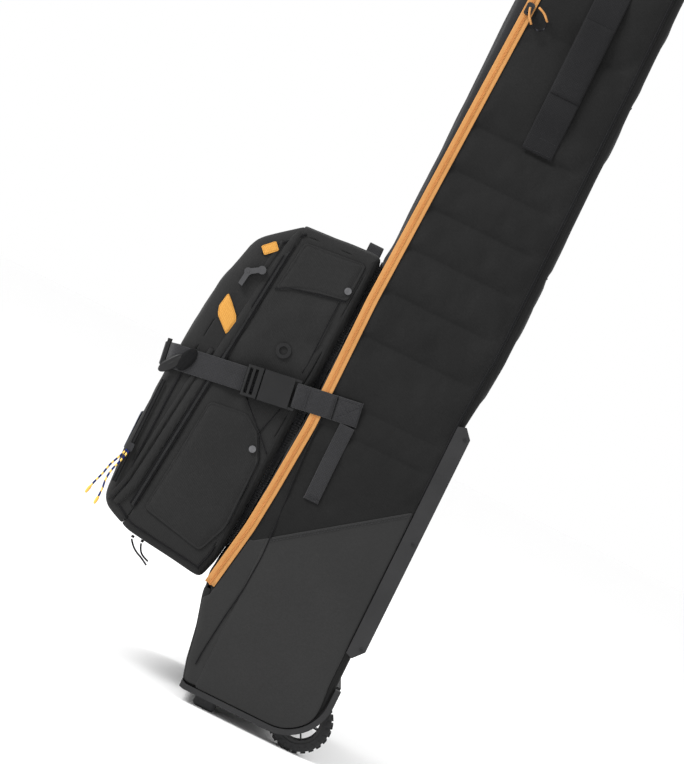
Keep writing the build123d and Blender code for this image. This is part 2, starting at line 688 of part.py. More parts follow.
# ---------------------------------------------------------------- toggle hook on the pack
TOGGLE = (-299.0, 628.0)
TOGGLE_Y = PACK_HALF + 0.6
with BuildPart() as toggle_base:
    with BuildSketch(side_plane(-PACK_HALF - SIDE_CLEAR)):
        with Locations((TOGGLE[0], TOGGLE[1])):
            Circle(4.5)
    extrude(amount=2)
    with BuildSketch(side_plane(-PACK_HALF - SIDE_CLEAR)):
        with Locations((TOGGLE[0], TOGGLE[1])):
            Circle(2)
    extrude(amount=9)
finish(toggle_base, "toggle_base")

with BuildPart() as toggle_hook:
    with BuildSketch(side_plane(-PACK_HALF - 2.6)):
        with Locations((TOGGLE[0], TOGGLE[1])):
            Circle(6)
        with BuildLine():
            Polyline((TOGGLE[0] - 4, TOGGLE[1] - 3), (TOGGLE[0] - 6, TOGGLE[1] - 22), (TOGGLE[0] + 1, TOGGLE[1] - 24),
                     (TOGGLE[0] + 4, TOGGLE[1] - 3), close=True)
        make_face()
        with BuildLine():
            Polyline((TOGGLE[0] + 2, TOGGLE[1] - 4), (TOGGLE[0] + 20, TOGGLE[1] + 8), (TOGGLE[0] + 16, TOGGLE[1] + 15),
                     (TOGGLE[0] - 2, TOGGLE[1] + 4), close=True)
        make_face()
        with Locations((TOGGLE[0] + 18, TOGGLE[1] + 11)):
            Circle(6.5)
        with Locations((TOGGLE[0], TOGGLE[1])):
            Circle(2.05, mode=Mode.SUBTRACT)
    extrude(amount=5.5)
finish(toggle_hook, "toggle_hook")


# ---------------------------------------------------------------- zipper sliders and pulls on the pack
def small_slider(name, x, y, z):
    """Zipper slider with a hole through its bridge for the pull's cord."""
    with BuildPart() as slider:
        with BuildSketch(Plane(origin=(BAG_X + x, y, z), x_dir=(1, 0, 0), z_dir=(0, -1, 0))):
            RectangleRounded(9, 14, 3)
        extrude(amount=6)
        with BuildSketch(Plane(origin=(BAG_X + x, y - 4, z), x_dir=(0, 1, 0), z_dir=(1, 0, 0))):
            Circle(1.7)
        extrude(amount=10, both=True, mode=Mode.SUBTRACT)
    finish(slider, name)


POCKET_ZIP_X = -341.0
with BuildPart() as pocket_zip_tape:
    with BuildSketch(side_plane(-PACK_HALF - SIDE_CLEAR)):
        with Locations((POCKET_ZIP_X, 338)):
            RectangleRounded(8, 174, 3)
    extrude(amount=1.4)
finish(pocket_zip_tape, "pocket_zip_tape")

PULL_SLIDER_Z = 310.0
SLIDER_OUTER = -PACK_HALF - SIDE_CLEAR - 1.4 - 0.35 - 6.0
small_slider("pocket_zip_slider", POCKET_ZIP_X, SLIDER_OUTER + 6.0, PULL_SLIDER_Z)

with BuildPart() as bottom_tabs:
    for x in (-279, -263):
        with Locations((BAG_X + x, -157, 187.3)):
            Box(5, 8, 3)
finish(bottom_tabs, "bottom_tabs")


def bends(route, share=0.45):
    """Radius of each corner's arc: 0.45 of its shorter run over the tangent of half the turn."""
    radii = []
    for before, at, after in zip(route, route[1:], route[2:]):
        first, second = Vector(*at) - Vector(*before), Vector(*after) - Vector(*at)
        turn = first.get_angle(second)
        radii.append(share * min(first.length, second.length) / tan(radians(turn / 2)))
    return radii


def cord_tube(name, route, diameter):
    """A cord's plain tube along its route: straight runs joined by tangent arcs."""
    points = [(BAG_X + x, y, z) for x, y, z in route]
    radii = bends(points)
    with BuildPart() as tube:
        with BuildLine() as run:
            FilletPolyline(*points, radius=radii)
        with BuildSketch(Plane(origin=run.line @ 0, z_dir=run.line % 0)):
            Circle(diameter / 2)
        sweep()
    length = sum(edge.length for edge in run.edges())
    expected = pi * diameter**2 / 4 * length
    print(name, "length", round(length, 1), "radii", [round(r, 1) for r in radii],
          "volume ratio", round(tube.part.volume / expected, 4))
    finish(tube, name)


CORD = 3.0
PULL_Y = SLIDER_OUTER - 2.0
PULL_UPPER = [(-344.0, PULL_Y, 305.0), (-349.5, PULL_Y - 1, 290.0), (-357.0, PULL_Y - 3, 274.0),
              (-360.5, PULL_Y - 4, 256.0), (-367.0, PULL_Y - 4, 239.0), (-370.5, PULL_Y - 3, 223.0)]
PULL_LOWER = [(-340.5, PULL_Y - 3.5, 304.0), (-344.0, PULL_Y - 6, 287.0), (-350.5, PULL_Y - 7.5, 270.0),
              (-353.0, PULL_Y - 8, 251.0), (-350.0, PULL_Y - 7.5, 232.0), (-351.5, PULL_Y - 7, 214.0)]
BOTTOM_FRONT = [(-279.0, -160.0, 184.2), (-273.0, -161.0, 176.0), (-263.0, -162.2, 169.0),
                (-251.5, -162.8, 164.5), (-241.0, -163.4, 158.0)]
BOTTOM_BACK = [(-263.0, -158.0, 184.2), (-260.0, -158.4, 175.0), (-252.5, -158.8, 167.5), (-241.5, -159.0, 164.0)]
cord_tube("pull_cord_upper", PULL_UPPER, CORD)
cord_tube("pull_cord_lower", PULL_LOWER, CORD)
cord_tube("bottom_cord_front", BOTTOM_FRONT, CORD)
cord_tube("bottom_cord_back", BOTTOM_BACK, CORD)

LOOP_Y = -SLIDER_Y - 10.3
ZIP_PULL = [(ZIP_X, LOOP_Y - 1.5, SLIDER_Z + 1), (ZIP_X + 3.5, LOOP_Y - 2.6, SLIDER_Z - 11),
            (ZIP_X + 13.0, LOOP_Y - 3, SLIDER_Z - 22), (ZIP_X + 25.0, LOOP_Y - 2.6, SLIDER_Z - 27),
            (ZIP_X + 34.5, LOOP_Y - 1.8, SLIDER_Z - 20), (ZIP_X + 33.0, LOOP_Y - 0.9, SLIDER_Z - 8),
            (ZIP_X + 24.0, LOOP_Y - 0.4, SLIDER_Z + 2), (ZIP_X + 12.0, LOOP_Y, SLIDER_Z + 7)]
cord_tube("zip_pull_loop", ZIP_PULL, 2.6)
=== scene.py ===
"""Looks of the wheeled snowboard bag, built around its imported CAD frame.

Lengths are millimetres until at() turns them into the frame's metres. x is measured from the plane that the
side outlines share, so x runs from the pack's front at -352 to the back stays at 114.
"""

import json
from contextlib import contextmanager
from math import ceil, cos, hypot, pi, radians, sin, sqrt, tan

import bmesh
import bpy
import numpy as np
from mathutils import Matrix, Vector, noise


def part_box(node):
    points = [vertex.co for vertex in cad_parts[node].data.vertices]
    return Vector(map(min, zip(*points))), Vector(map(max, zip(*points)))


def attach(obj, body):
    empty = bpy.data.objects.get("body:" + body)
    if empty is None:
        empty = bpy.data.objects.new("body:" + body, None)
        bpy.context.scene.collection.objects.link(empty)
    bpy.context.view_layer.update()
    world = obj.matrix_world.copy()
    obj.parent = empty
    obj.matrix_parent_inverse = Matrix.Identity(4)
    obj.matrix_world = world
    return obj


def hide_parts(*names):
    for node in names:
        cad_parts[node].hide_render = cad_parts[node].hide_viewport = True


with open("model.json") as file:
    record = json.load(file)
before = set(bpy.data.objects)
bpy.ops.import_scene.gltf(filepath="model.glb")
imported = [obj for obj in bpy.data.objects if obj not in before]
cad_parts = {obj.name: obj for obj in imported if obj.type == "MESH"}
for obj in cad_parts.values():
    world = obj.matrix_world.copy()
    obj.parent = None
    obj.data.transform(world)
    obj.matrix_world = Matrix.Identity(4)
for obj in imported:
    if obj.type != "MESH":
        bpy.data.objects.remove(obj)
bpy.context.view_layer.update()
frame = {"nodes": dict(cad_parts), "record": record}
NODES = frame["nodes"]

MM = 0.001
BAG_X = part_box("front_feet")[0].x * 1000 + 86.0  # the feet start 86 mm in front of the side outlines' plane

# ---------------------------------------------------------------- sizes shared with the frame
SIDES = ((-1, "near"), (1, "far"))  # which way y runs on each side, and the side's name
HALF = 185.0  # half the bag's width
LENGTH = 1745.0
BASE = 26.0
HEEL_R, HEEL_X, HEEL_Z = 68.0, 33.0, 94.0
CROWN_R = 45.0
LID_LOW = 172.0
TAPE_Y = 185.15
PACK_HALF = 174.0
STRAP_X, STRAP_Z, STRAP_TILT = -50.0, 506.5, radians(8.5)  # where the pack strap starts, and its slope
WHEEL_X, WHEEL_Y, WHEEL_Z = 75.0, 155.0, 50.0
GRIP_X = 14.0  # the side grips' middle


def at(x, y, z):
    """A point of the frame, in metres, from millimetres off the side outlines' plane."""
    return Vector(((BAG_X + x) * MM, y * MM, z * MM))


def strap_at(t, y, n=0.0):
    """A point of the pack strap's tilted plane: t along the strap, n across it."""
    return at(STRAP_X + t * cos(STRAP_TILT) - n * sin(STRAP_TILT), y,
              STRAP_Z + t * sin(STRAP_TILT) + n * cos(STRAP_TILT))


STRAP_ACROSS = Vector((-sin(STRAP_TILT), 0, cos(STRAP_TILT)))


def interpolate(table, value):
    """Straight-line interpolation in a table of (key, result)."""
    keys, results = zip(*table)
    return float(np.interp(value, keys, results))


# outlines in the side plane, as (z, x)
ZIP_X = [(172, -143), (280, -125), (345, -119), (460, -111), (672, -111), (1785, -70.9)]
FRONT_X = [(26, -114), (60, -124), (112, -133), (160, -146), (180, -148), (250, -137), (300, -131), (460, -122),
           (760, -116), (1745, -112)]
BACK_X = [(26, 101), (560, 101), (670, 114), (1200, 114), (1745, 110)]

# ---------------------------------------------------------------- materials
MATERIALS = {}


def srgb(levels):
    """0-255 display levels as a linear colour."""
    linear = [(v / 255 / 12.92) if v <= 10 else ((v / 255 + 0.055) / 1.055) ** 2.4 for v in levels]
    return (*linear, 1.0)


class Graph:
    """A material's node tree, with short calls for the nodes that every finish uses."""

    def __init__(self, name):
        self.material = bpy.data.materials.new(name)
        self.material.use_nodes = True
        self.tree = self.material.node_tree
        self.shader = self.tree.nodes["Principled BSDF"]
        self.coords = self.add("ShaderNodeTexCoord").outputs["Object"]
        MATERIALS[name] = self.material

    def feed(self, socket, value):
        """Links an output to a socket, or sets the socket's own value."""
        if isinstance(value, bpy.types.NodeSocket):
            self.tree.links.new(value, socket)
        else:
            socket.default_value = value

    def add(self, kind, **values):
        """A new node: sockets are set by name, other values as attributes."""
        node = self.tree.nodes.new(kind)
        for key, value in values.items():
            if key in node.inputs:
                self.feed(node.inputs[key], value)
            else:
                setattr(node, key, value)
        return node

    def shade(self, **values):
        """Sets the shader's sockets by name, with _ for a space."""
        for key, value in values.items():
            self.feed(self.shader.inputs[key.replace("_", " ")], value)

    def maths(self, operation, a, b):
        node = self.add("ShaderNodeMath", operation=operation)
        for socket, value in zip(node.inputs, (a, b)):
            self.feed(socket, value)
        return node.outputs[0]

    def weighted(self, first, *others):
        """The sum of (output, share) pairs."""
        total = self.maths("MULTIPLY", *first)
        for pair in others:
            total = self.maths("ADD", total, self.maths("MULTIPLY", *pair))
        return total

    def noise(self, **values):
        """Noise over the object's own coordinates."""
        return self.add("ShaderNodeTexNoise", Vector=self.coords, **values).outputs["Fac"]

    def wave(self, direction, vector, scale, distortion):
        """Parallel bands."""
        node = self.add("ShaderNodeTexWave", Vector=vector, Scale=scale, Distortion=distortion)
        node.bands_direction = direction
        return node

    def blend_colour(self, factor, dark, light, positions=(0.3, 0.72), interpolation="LINEAR"):
        """Two display colours, blended or split between these values of the factor."""
        node = self.add("ShaderNodeValToRGB", Fac=factor)
        node.color_ramp.interpolation = interpolation
        for element, colour, position in zip(node.color_ramp.elements, (dark, light), positions):
            element.color = srgb(colour)
            element.position = position
        return node.outputs["Color"]

    def spread(self, value, **limits):
        """A value mapped to other limits, named as the Map Range sockets with _ for a space."""
        named = {key.replace("_", " "): limit for key, limit in limits.items()}
        return self.add("ShaderNodeMapRange", Value=value, **named).outputs[0]

    def bump(self, height, distance, strength=1.0, **under):
        """Relief; Normal=..., if given, is the relief under it."""
        node = self.add("ShaderNodeBump", Height=height, Distance=distance, Strength=strength, **under)
        return node.outputs["Normal"]


def per_metre(pitch):
    """The wave texture's scale for bands that repeat at this pitch in metres."""
    return 2 * pi / 20 / pitch


def threads(graph, pitch, along_uv):
    """Height of a plain weave whose threads repeat at this pitch in metres."""
    if along_uv:
        coords = graph.add("ShaderNodeTexCoord").outputs["UV"]
        sources = (("X", coords), ("Y", coords))
    else:
        turn = graph.add("ShaderNodeMapping", Vector=graph.coords, Rotation=(0, 0, radians(38)))
        sources = (("X", turn.outputs[0]), ("Z", graph.coords))
    waves = []
    for direction, vector in sources:
        wave = graph.wave(direction, vector, per_metre(pitch), 0.35)
        wave.inputs["Detail"].default_value = 1.0
        waves.append(wave.outputs["Fac"])
    return graph.maths("MULTIPLY", *waves)


def woven(name, dark, light, pitch=0.0016, depth=0.00022, rough=0.82, sheen=0.35, uv=False, slub=9.0):
    """Woven fabric: threads, slow colour drift, fine slubs, and a soft sheen."""
    graph = Graph(name)
    weave = threads(graph, pitch, uv)
    drift = graph.noise(Scale=slub, Detail=5.0, Roughness=0.6)
    grain = graph.noise(Scale=420.0, Detail=2.0)
    tone = graph.weighted((drift, 0.36), (grain, 0.32), (weave, 0.32))
    relief = graph.bump(graph.noise(Scale=70.0, Detail=3.0), 0.0006, 0.6)
    graph.shade(Base_Color=graph.blend_colour(tone, dark, light),
                Roughness=graph.spread(drift, To_Min=rough - 0.1, To_Max=min(1.0, rough + 0.08)),
                Normal=graph.bump(weave, depth, 0.8, Normal=relief),
                Sheen_Weight=sheen, Sheen_Roughness=0.45, Specular_IOR_Level=0.07)


def moulded(name, dark, light, rough=0.45, grain=900.0, depth=0.0001, coat=0.0, metal=0.0):
    """Moulded plastic, rubber or cast metal: fine grain, slow drift of colour and gloss, rubbed patches."""
    graph = Graph(name)
    slow = graph.noise(Scale=14.0, Detail=6.0, Roughness=0.65)
    fine = graph.noise(Scale=grain, Detail=2.0)
    scuff = graph.noise(Scale=55.0, Detail=8.0, Roughness=0.75)
    gloss = graph.spread(scuff, From_Min=0.3, From_Max=0.7, To_Min=max(0.05, rough - 0.12),
                         To_Max=min(1.0, rough + 0.14))
    graph.shade(Base_Color=graph.blend_colour(graph.weighted((slow, 0.7), (scuff, 0.3)), dark, light),
                Roughness=gloss, Normal=graph.bump(fine, depth, 0.7), Metallic=metal, Specular_IOR_Level=0.3,
                Coat_Weight=coat, Coat_Roughness=0.25)


def flecked(name, base, fleck, share):
    """Braided cord: two yarn colours in a spiral fleck, over a braid relief."""
    graph = Graph(name)
    wave = graph.wave("DIAGONAL", graph.coords, per_metre(0.0075), 1.2)
    colour = graph.blend_colour(wave.outputs["Fac"], base, fleck, (0, 1 - share), "CONSTANT")
    braid = graph.wave("DIAGONAL", graph.coords, per_metre(0.0016), 2.0)
    graph.shade(Base_Color=colour, Normal=graph.bump(braid.outputs["Fac"], 0.00025), Roughness=0.75,
                Specular_IOR_Level=0.08)


woven("shell_fabric", (24, 24, 24), (37, 37, 37), sheen=0.05)
woven("lid_fabric", (28, 28, 29), (42, 42, 43), sheen=0.05)
woven("pack_fabric", (31, 31, 31), (45, 45, 45), pitch=0.0019, sheen=0.05)
woven("armor_fabric", (39, 39, 39), (50, 50, 50), pitch=0.0013, depth=0.0001, rough=0.6, sheen=0.05, slub=5.0)
woven("lining", (70, 72, 76), (96, 98, 102), pitch=0.0024)
woven("mesh", (26, 26, 28), (48, 48, 50), pitch=0.0042, depth=0.0011, rough=0.9)
woven("webbing", (38, 38, 39), (54, 54, 56), pitch=0.0024, depth=0.0005, sheen=0.12, uv=True, slub=16.0)
woven("piping", (17, 17, 18), (28, 28, 29), pitch=0.0014, sheen=0.05)
woven("black_tape", (15, 15, 16), (26, 26, 27), pitch=0.0013, sheen=0.05)
woven("gold_tape", (168, 119, 68), (192, 141, 89), pitch=0.0013, depth=0.0002, rough=0.75, sheen=0.05)
woven("gold_webbing", (180, 128, 58), (206, 154, 82), pitch=0.0022, depth=0.0004, rough=0.75, sheen=0.05)
woven("thread", (38, 38, 40), (52, 52, 54), pitch=0.0008, sheen=0.1)
woven("handle_webbing", (25, 25, 26), (38, 38, 39), pitch=0.0024, depth=0.0004, sheen=0.03, uv=True)
moulded("dark_metal", (48, 48, 50), (72, 72, 74), rough=0.36, metal=0.9)
moulded("hard_black", (9, 9, 10), (17, 17, 18), rough=0.42)
moulded("plate_plastic", (26, 26, 27), (38, 38, 39), rough=0.5, depth=0.00025)
moulded("tray_plastic", (24, 24, 25), (38, 38, 39), rough=0.5, depth=0.00025)
moulded("rim_plastic", (12, 12, 13), (22, 22, 23), rough=0.42)
moulded("tyre_rubber", (22, 22, 23), (36, 36, 37), rough=0.72, grain=500.0, depth=0.0003)
moulded("foot_rubber", (38, 38, 39), (54, 54, 55), rough=0.75, grain=450.0, depth=0.0003)
moulded("steel", (120, 120, 122), (160, 160, 162), rough=0.32, metal=1.0)
moulded("aluminium", (150, 150, 152), (185, 185, 186), rough=0.38, metal=1.0)
moulded("slider_metal", (84, 84, 86), (128, 128, 130), rough=0.34, metal=1.0)
moulded("gold_coil", (160, 102, 50), (190, 128, 70), rough=0.5, depth=0.0001)
moulded("black_coil", (20, 20, 21), (36, 36, 37), rough=0.4)
moulded("patch_coated", (70, 74, 84), (92, 96, 108), rough=0.42, depth=0.00012, coat=0.1)
moulded("gold_tip", (216, 160, 60), (244, 196, 96), rough=0.45)
moulded("toggle_plastic", (40, 40, 42), (62, 62, 64), rough=0.2, coat=0.5)
moulded("gloss_black", (4, 4, 5), (10, 10, 11), rough=0.24, coat=0.15)
flecked("cord_black", (20, 20, 22), (46, 46, 50), share=0.2)
flecked("cord_navy", (24, 34, 84), (226, 188, 96), share=0.34)


# ---------------------------------------------------------------- meshes
def piece(name, vertices, faces, body, material, slot_name=None, stands_for=(), smooth=True, uvs=None):
    """A new mesh that rides on a body, in the frame's metres."""
    mesh = bpy.data.meshes.new(name)
    mesh.from_pydata([tuple(v) for v in vertices], [], faces)
    if smooth:
        mesh.polygons.foreach_set("use_smooth", [True] * len(mesh.polygons))
    if uvs is not None:
        layer = mesh.uv_layers.new(name="UVMap")
        loops = np.empty(len(mesh.loops), np.int32)
        mesh.loops.foreach_get("vertex_index", loops)
        layer.data.foreach_set("uv", np.asarray(uvs, np.float32)[loops].ravel())
    mesh.update()
    obj = bpy.data.objects.new(name, mesh)
    bpy.context.scene.collection.objects.link(obj)
    return dress(obj, body, material, slot_name, stands_for)


@contextmanager
def edited(obj):
    """The object's mesh, opened for editing."""
    bm = bmesh.new()
    bm.from_mesh(obj.data)
    yield bm
    bm.to_mesh(obj.data)
    bm.free()


def solid(*details, **named):
    """A new closed mesh, with its faces turned outward."""
    obj = piece(*details, **named)
    with edited(obj) as bm:
        bmesh.ops.recalc_face_normals(bm, faces=bm.faces)
    return obj


def dress(obj, body, material, slot_name=None, stands_for=()):
    """Gives a piece its material and body, and hides the CAD nodes it stands for."""
    obj.data.materials.append(MATERIALS[material])
    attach(obj, body)
    if slot_name or material in KNOWN_SLOTS:
        slot_name or material
    if stands_for:
        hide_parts(*stands_for)
    return obj


KNOWN_SLOTS = {m["slot"] for m in frame["record"]["materials"]}


def grid_faces(rows, columns, closed=False, first=0):
    """Quads of a grid of rows x columns, closed round the columns if asked."""
    faces = []
    for r in range(rows - 1):
        for c in range(columns if closed else columns - 1):
            d = (c + 1) % columns
            faces.append((first + r * columns + c, first + r * columns + d,
                          first + (r + 1) * columns + d, first + (r + 1) * columns + c))
    return faces


def end_caps(rows, columns, first=0):
    """The two faces that close the ends of a grid closed round its columns."""
    last = first + (rows - 1) * columns
    return [tuple(first + c for c in reversed(range(columns))), tuple(last + c for c in range(columns))]


def bevel(obj, width):
    """Rounded edges as a modifier, in metres."""
    modifier = obj.modifiers.new("Bevel", "BEVEL")
    modifier.width = width
    modifier.segments = 2
    modifier.limit_method = "ANGLE"
    modifier.angle_limit = radians(35)


def thicken(obj, thick, inner_slot=0):
    """Fabric thickness inward from a skin, in metres, with its inner material's offset, then a smoothing."""
    fabric = obj.modifiers.new("Thickness", "SOLIDIFY")
    fabric.thickness = thick
    fabric.offset = -1
    fabric.material_offset = inner_slot
    smooth = obj.modifiers.new("Smooth", "SUBSURF")
    smooth.levels = smooth.render_levels = 1


def rounded_route(points, share, steps=6):
    """A route whose corners are eased into short curves that start and end on its runs."""
    points = [Vector(p) for p in points]
    out = [points[0]]
    for before, corner, after in zip(points, points[1:], points[2:]):
        reach = share * min((corner - before).length, (after - corner).length)
        start = corner + (before - corner).normalized() * reach
        end = corner + (after - corner).normalized() * reach
        for k in range(steps + 1):
            f = k / steps
            out.append(start * (1 - f) ** 2 + corner * 2 * f * (1 - f) + end * f ** 2)
    out.append(points[-1])
    return out


def heading(points, i):
    """The direction of a line of points at its i-th point."""
    return (points[min(i + 1, len(points) - 1)] - points[max(i - 1, 0)]).normalized()


def divided(points, spacing):
    """The same route with its long runs divided, so that none is longer than the spacing."""
    out = [points[0]]
    for a, b in zip(points, points[1:]):
        parts = max(1, ceil((b - a).length / spacing))
        out += [a.lerp(b, k / parts) for k in range(1, parts + 1)]
    return out


def eased(points, spacing, share=0.4):
    """A route with eased corners and its long runs divided."""
    return divided(rounded_route(points, share), spacing)


def ribbon(name, route, across, width, thick, body, material="webbing", stands_for=(), slot_name=None,
           puff=None):
    """Flat webbing or padded strap along a route, with soft selvedges. Lengths in metres.

    puff, if given, turns the share of the way along it into extra half thickness in metres.
    """
    section = [(-0.5, 0.0), (-0.485, 0.36), (-0.45, 0.5), (-0.25, 0.47), (0.0, 0.5), (0.25, 0.47), (0.45, 0.5),
               (0.485, 0.36), (0.5, 0.0)]
    section += [(a, -b) for a, b in reversed(section[1:-1])]
    across = Vector(across).normalized()
    total = sum((b - a).length for a, b in zip(route, route[1:]))
    vertices, uvs, walked = [], [], 0.0
    for i, point in enumerate(route):
        tangent = heading(route, i)
        side = (across - tangent * across.dot(tangent)).normalized()
        normal = tangent.cross(side)
        walked += (point - route[i - 1]).length if i else 0.0
        extra = puff(walked / total) if puff else 0.0
        for a, b in section:
            dome = 1 - (2 * a) ** 2
            lift = b * thick + (extra * dome * (1 if b > 0 else -1 if b < 0 else 0))
            vertices.append(point + side * (a * width) + normal * lift)
            uvs.append((walked, a * width))
    rows, columns = len(route), len(section)
    faces = grid_faces(rows, columns, closed=True) + end_caps(rows, columns)
    return solid(name, vertices, faces, body, material, slot_name, stands_for, uvs=uvs)


def tube(name, points, radius, body, material, stands_for=(), sides=10, slot_name=None):
    """A round tube through these points, as a mesh. Lengths in metres."""
    vertices, reference = [], Vector((0, 1, 0))
    for i, point in enumerate(points):
        tangent = heading(points, i)
        if abs(tangent.dot(reference)) > 0.95:
            reference = Vector((1, 0, 0))
        side = tangent.cross(reference).normalized()
        up = side.cross(tangent)
        size = radius(i) if callable(radius) else radius
        vertices += [point + side * cos(2 * pi * k / sides) * size + up * sin(2 * pi * k / sides) * size
                     for k in range(sides)]
    faces = grid_faces(len(points), sides, closed=True) + end_caps(len(points), sides)
    return solid(name, vertices, faces, body, material, slot_name, stands_for)


def coons(left, right, bottom, top):
    """A grid of 2-D points between four lines: rows run from bottom to top, columns from left to right."""
    left, right, bottom, top = (np.asarray(line, float) for line in (left, right, bottom, top))
    u = np.linspace(0, 1, len(bottom))[None, :, None]
    # the lines' own spacing decides where a row or a column lies
    share = np.concatenate([[0], np.cumsum(np.linalg.norm(np.diff(left, axis=0), axis=1))])
    v = (share / share[-1])[:, None, None]
    ruled = (1 - u) * left[:, None] + u * right[:, None] + (1 - v) * bottom[None] + v * top[None]
    corners = ((1 - u) * (1 - v) * left[0] + u * (1 - v) * right[0]
               + (1 - u) * v * left[-1] + u * v * right[-1])
    return ruled - corners


# ---------------------------------------------------------------- soft cases
def heights(low, high, spacing, seams=(), beside=3.5):
    """Row heights between two limits, with three rows at each seam."""
    marks = sorted(z for seam in seams for z in (seam - beside, seam, seam + beside) if low < z < high)
    even = np.linspace(low, high, max(2, round((high - low) / spacing) + 1))
    return sorted(marks + [float(z) for z in even if all(abs(z - m) > 0.45 * spacing for m in marks)
                           or z in (low, high)])


def fade(value, low, high):
    """0 below low, 1 above high, smooth between."""
    f = min(1.0, max(0.0, (value - low) / (high - low)))
    return f * f * (3 - 2 * f)


def bell(distance, width):
    """1 at no distance, falling off smoothly to nothing well beyond the width."""
    return 2.7 ** (-(distance / width) ** 2)


def ripple(x, y, z, size, seed):
    """Smooth seeded unevenness, about -1 to 1."""
    return noise.noise(Vector((x / size + seed * 17.3, y / size - seed * 5.1, z / size + seed * 3.7))) * 1.6


class Case:
    """One soft shell, sewn from patches: two side panels and the band that joins their outer edges."""

    def __init__(self):
        self.points, self.faces, self.held = [], [], []

    def patch(self, rows, held):
        """Adds a grid of frame points; held says how firmly each is fixed while the case is inflated."""
        first = len(self.points)
        count = len(rows[0])
        for row, holds in zip(rows, held):
            self.points += row
            self.held += holds
        self.faces += grid_faces(len(rows), count, first=first)

    def band(self, line, inward, radius, half, spacing, lift, hold):
        """The strip across the case along its outline, rounded over onto both sides.

        lift(x, y, z) pushes it outward in millimetres; hold(x, y, z) is how firmly it is fixed.
        """
        turns = 5
        widest = max(radius)
        across = max(2, round(2 * (half - widest) / spacing))
        rows, held = [], []
        for (x, z), (nx, nz), r in zip(line, inward, radius):
            row, holds = [], []
            flat = half - r
            profile = [(r * (1 - sin(a)), -half + r * (1 - cos(a))) for a in np.linspace(0, pi / 2, turns + 1)]
            profile += [(0.0, -flat + 2 * flat * k / across) for k in range(1, across)]
            profile += [(inset, -y) for inset, y in reversed(profile[:turns + 1])]
            for inset, y in profile:
                out = lift(x, y, z) * fade(half - abs(y), 0.0, r + 12.0)
                row.append(at(x + nx * (inset - out), y, z + nz * (inset - out)))
                holds.append(hold(x, y, z) if abs(y) < half - r + 0.5 else 1.0)
            rows.append(row)
            held.append(holds)
        self.patch(rows, held)

    def side(self, grid, half, lift, hold):
        """Both side panels from one grid of (x, z)."""
        for near in (-1, 1):
            rows = [[at(x, near * (half + lift(x, z, near)), z) for x, z in row] for row in grid]
            held = [[hold(x, z) if 0 < c < len(row) - 1 and 0 < r < len(grid) - 1 else 1.0
                     for c, (x, z) in enumerate(row)] for r, row in enumerate(grid)]
            self.patch(rows, held)

    def finished(self, name, body, material, inside, thick, stands_for, inflate_by=None):
        """Sews the patches into one mesh, inflates it, and gives it its padded thickness."""
        obj = piece(name, self.points, self.faces, body, material, stands_for=stands_for)
        with edited(obj) as bm:
            layer = bm.verts.layers.float.new("held")
            for vertex, value in zip(bm.verts, self.held):
                vertex[layer] = value
            bmesh.ops.remove_doubles(bm, verts=bm.verts, dist=0.00035)
            bmesh.ops.recalc_face_normals(bm, faces=bm.faces)
            # an open shell can come out facing in, and the panel at its outermost y tells
            outer = max(bm.faces, key=lambda f: abs(f.calc_center_median().y))
            if outer.normal.y * outer.calc_center_median().y < 0:
                bmesh.ops.reverse_faces(bm, faces=bm.faces)
        if inflate_by:
            inflate(obj, *inflate_by)
        attribute = obj.data.attributes.get("held")
        if attribute:
            obj.data.attributes.remove(attribute)
        obj.data.materials.append(MATERIALS[inside])
        thicken(obj, thick * MM, inner_slot=1)


def inflate(obj, pressure, cap, slack=0.0, frames=20):
    """Cloth simulation under pressure, held along its seams; a point moves at most cap metres."""
    scene = bpy.context.scene
    count = len(obj.data.vertices)
    rest = np.empty(count * 3, np.float32)
    obj.data.vertices.foreach_get("co", rest)
    rest = rest.reshape(-1, 3).astype(float)
    held = np.empty(count, np.float32)
    obj.data.attributes["held"].data.foreach_get("value", held)
    group = obj.vertex_groups.new(name="held")
    for level in sorted(set(np.round(held, 2))):
        group.add([int(i) for i in np.flatnonzero(np.round(held, 2) == level)], float(level), "REPLACE")
    cloth = obj.modifiers.new("Cloth", "CLOTH")
    settings = cloth.settings
    settings.quality = 6
    settings.vertex_group_mass = "held"
    settings.use_pressure = True
    settings.uniform_pressure_force = pressure
    settings.shrink_min = settings.shrink_max = -slack
    settings.effector_weights.gravity = 0
    settings.tension_stiffness = settings.compression_stiffness = 20
    settings.bending_stiffness = 0.6
    cloth.collision_settings.use_collision = False
    cloth.point_cache.frame_start = 1
    cloth.point_cache.frame_end = frames
    for number in range(1, frames + 1):
        scene.frame_set(number)
    moved = obj.evaluated_get(bpy.context.evaluated_depsgraph_get()).data
    now = np.empty(count * 3, np.float32)
    moved.vertices.foreach_get("co", now)
    shift = now.reshape(-1, 3).astype(float) - rest
    size = np.linalg.norm(shift, axis=1)
    size[size < 1e-9] = 1e-9
    shift *= (cap * np.tanh(size / cap) / size)[:, None]
    obj.modifiers.remove(cloth)
    obj.vertex_groups.remove(group)
    obj.data.vertices.foreach_set("co", (rest + shift).astype(np.float32).ravel())
    obj.data.update()
    scene.frame_set(1)


# ---------------------------------------------------------------- the bag's soft shell
SIDE_SEAMS = [470, 515, 618, 694, 768, 836, 904, 978, 1151, 1330, 1500, 1640]
BACK_SEAMS = (820, 1110, 1400)
BACK_SEAM_Y, LID_SEAM_Y = 118, 120  # half the width between the upright seams
SEAM_END = 84.0  # where the quilting stops, ahead of the piping
CASE_HALF = 184.3
ARMOR_SLOPE = [(-112, 266), (89, 413)]
CROWN_TOP = LENGTH - CROWN_R
BACK_ROUND = [(38, 12), (560, 12), (650, 17), (1700, 17)]
TOE_R, CROWN_ROUND = 12.0, 15.0


def armor_top(x):
    return interpolate(ARMOR_SLOPE, x)


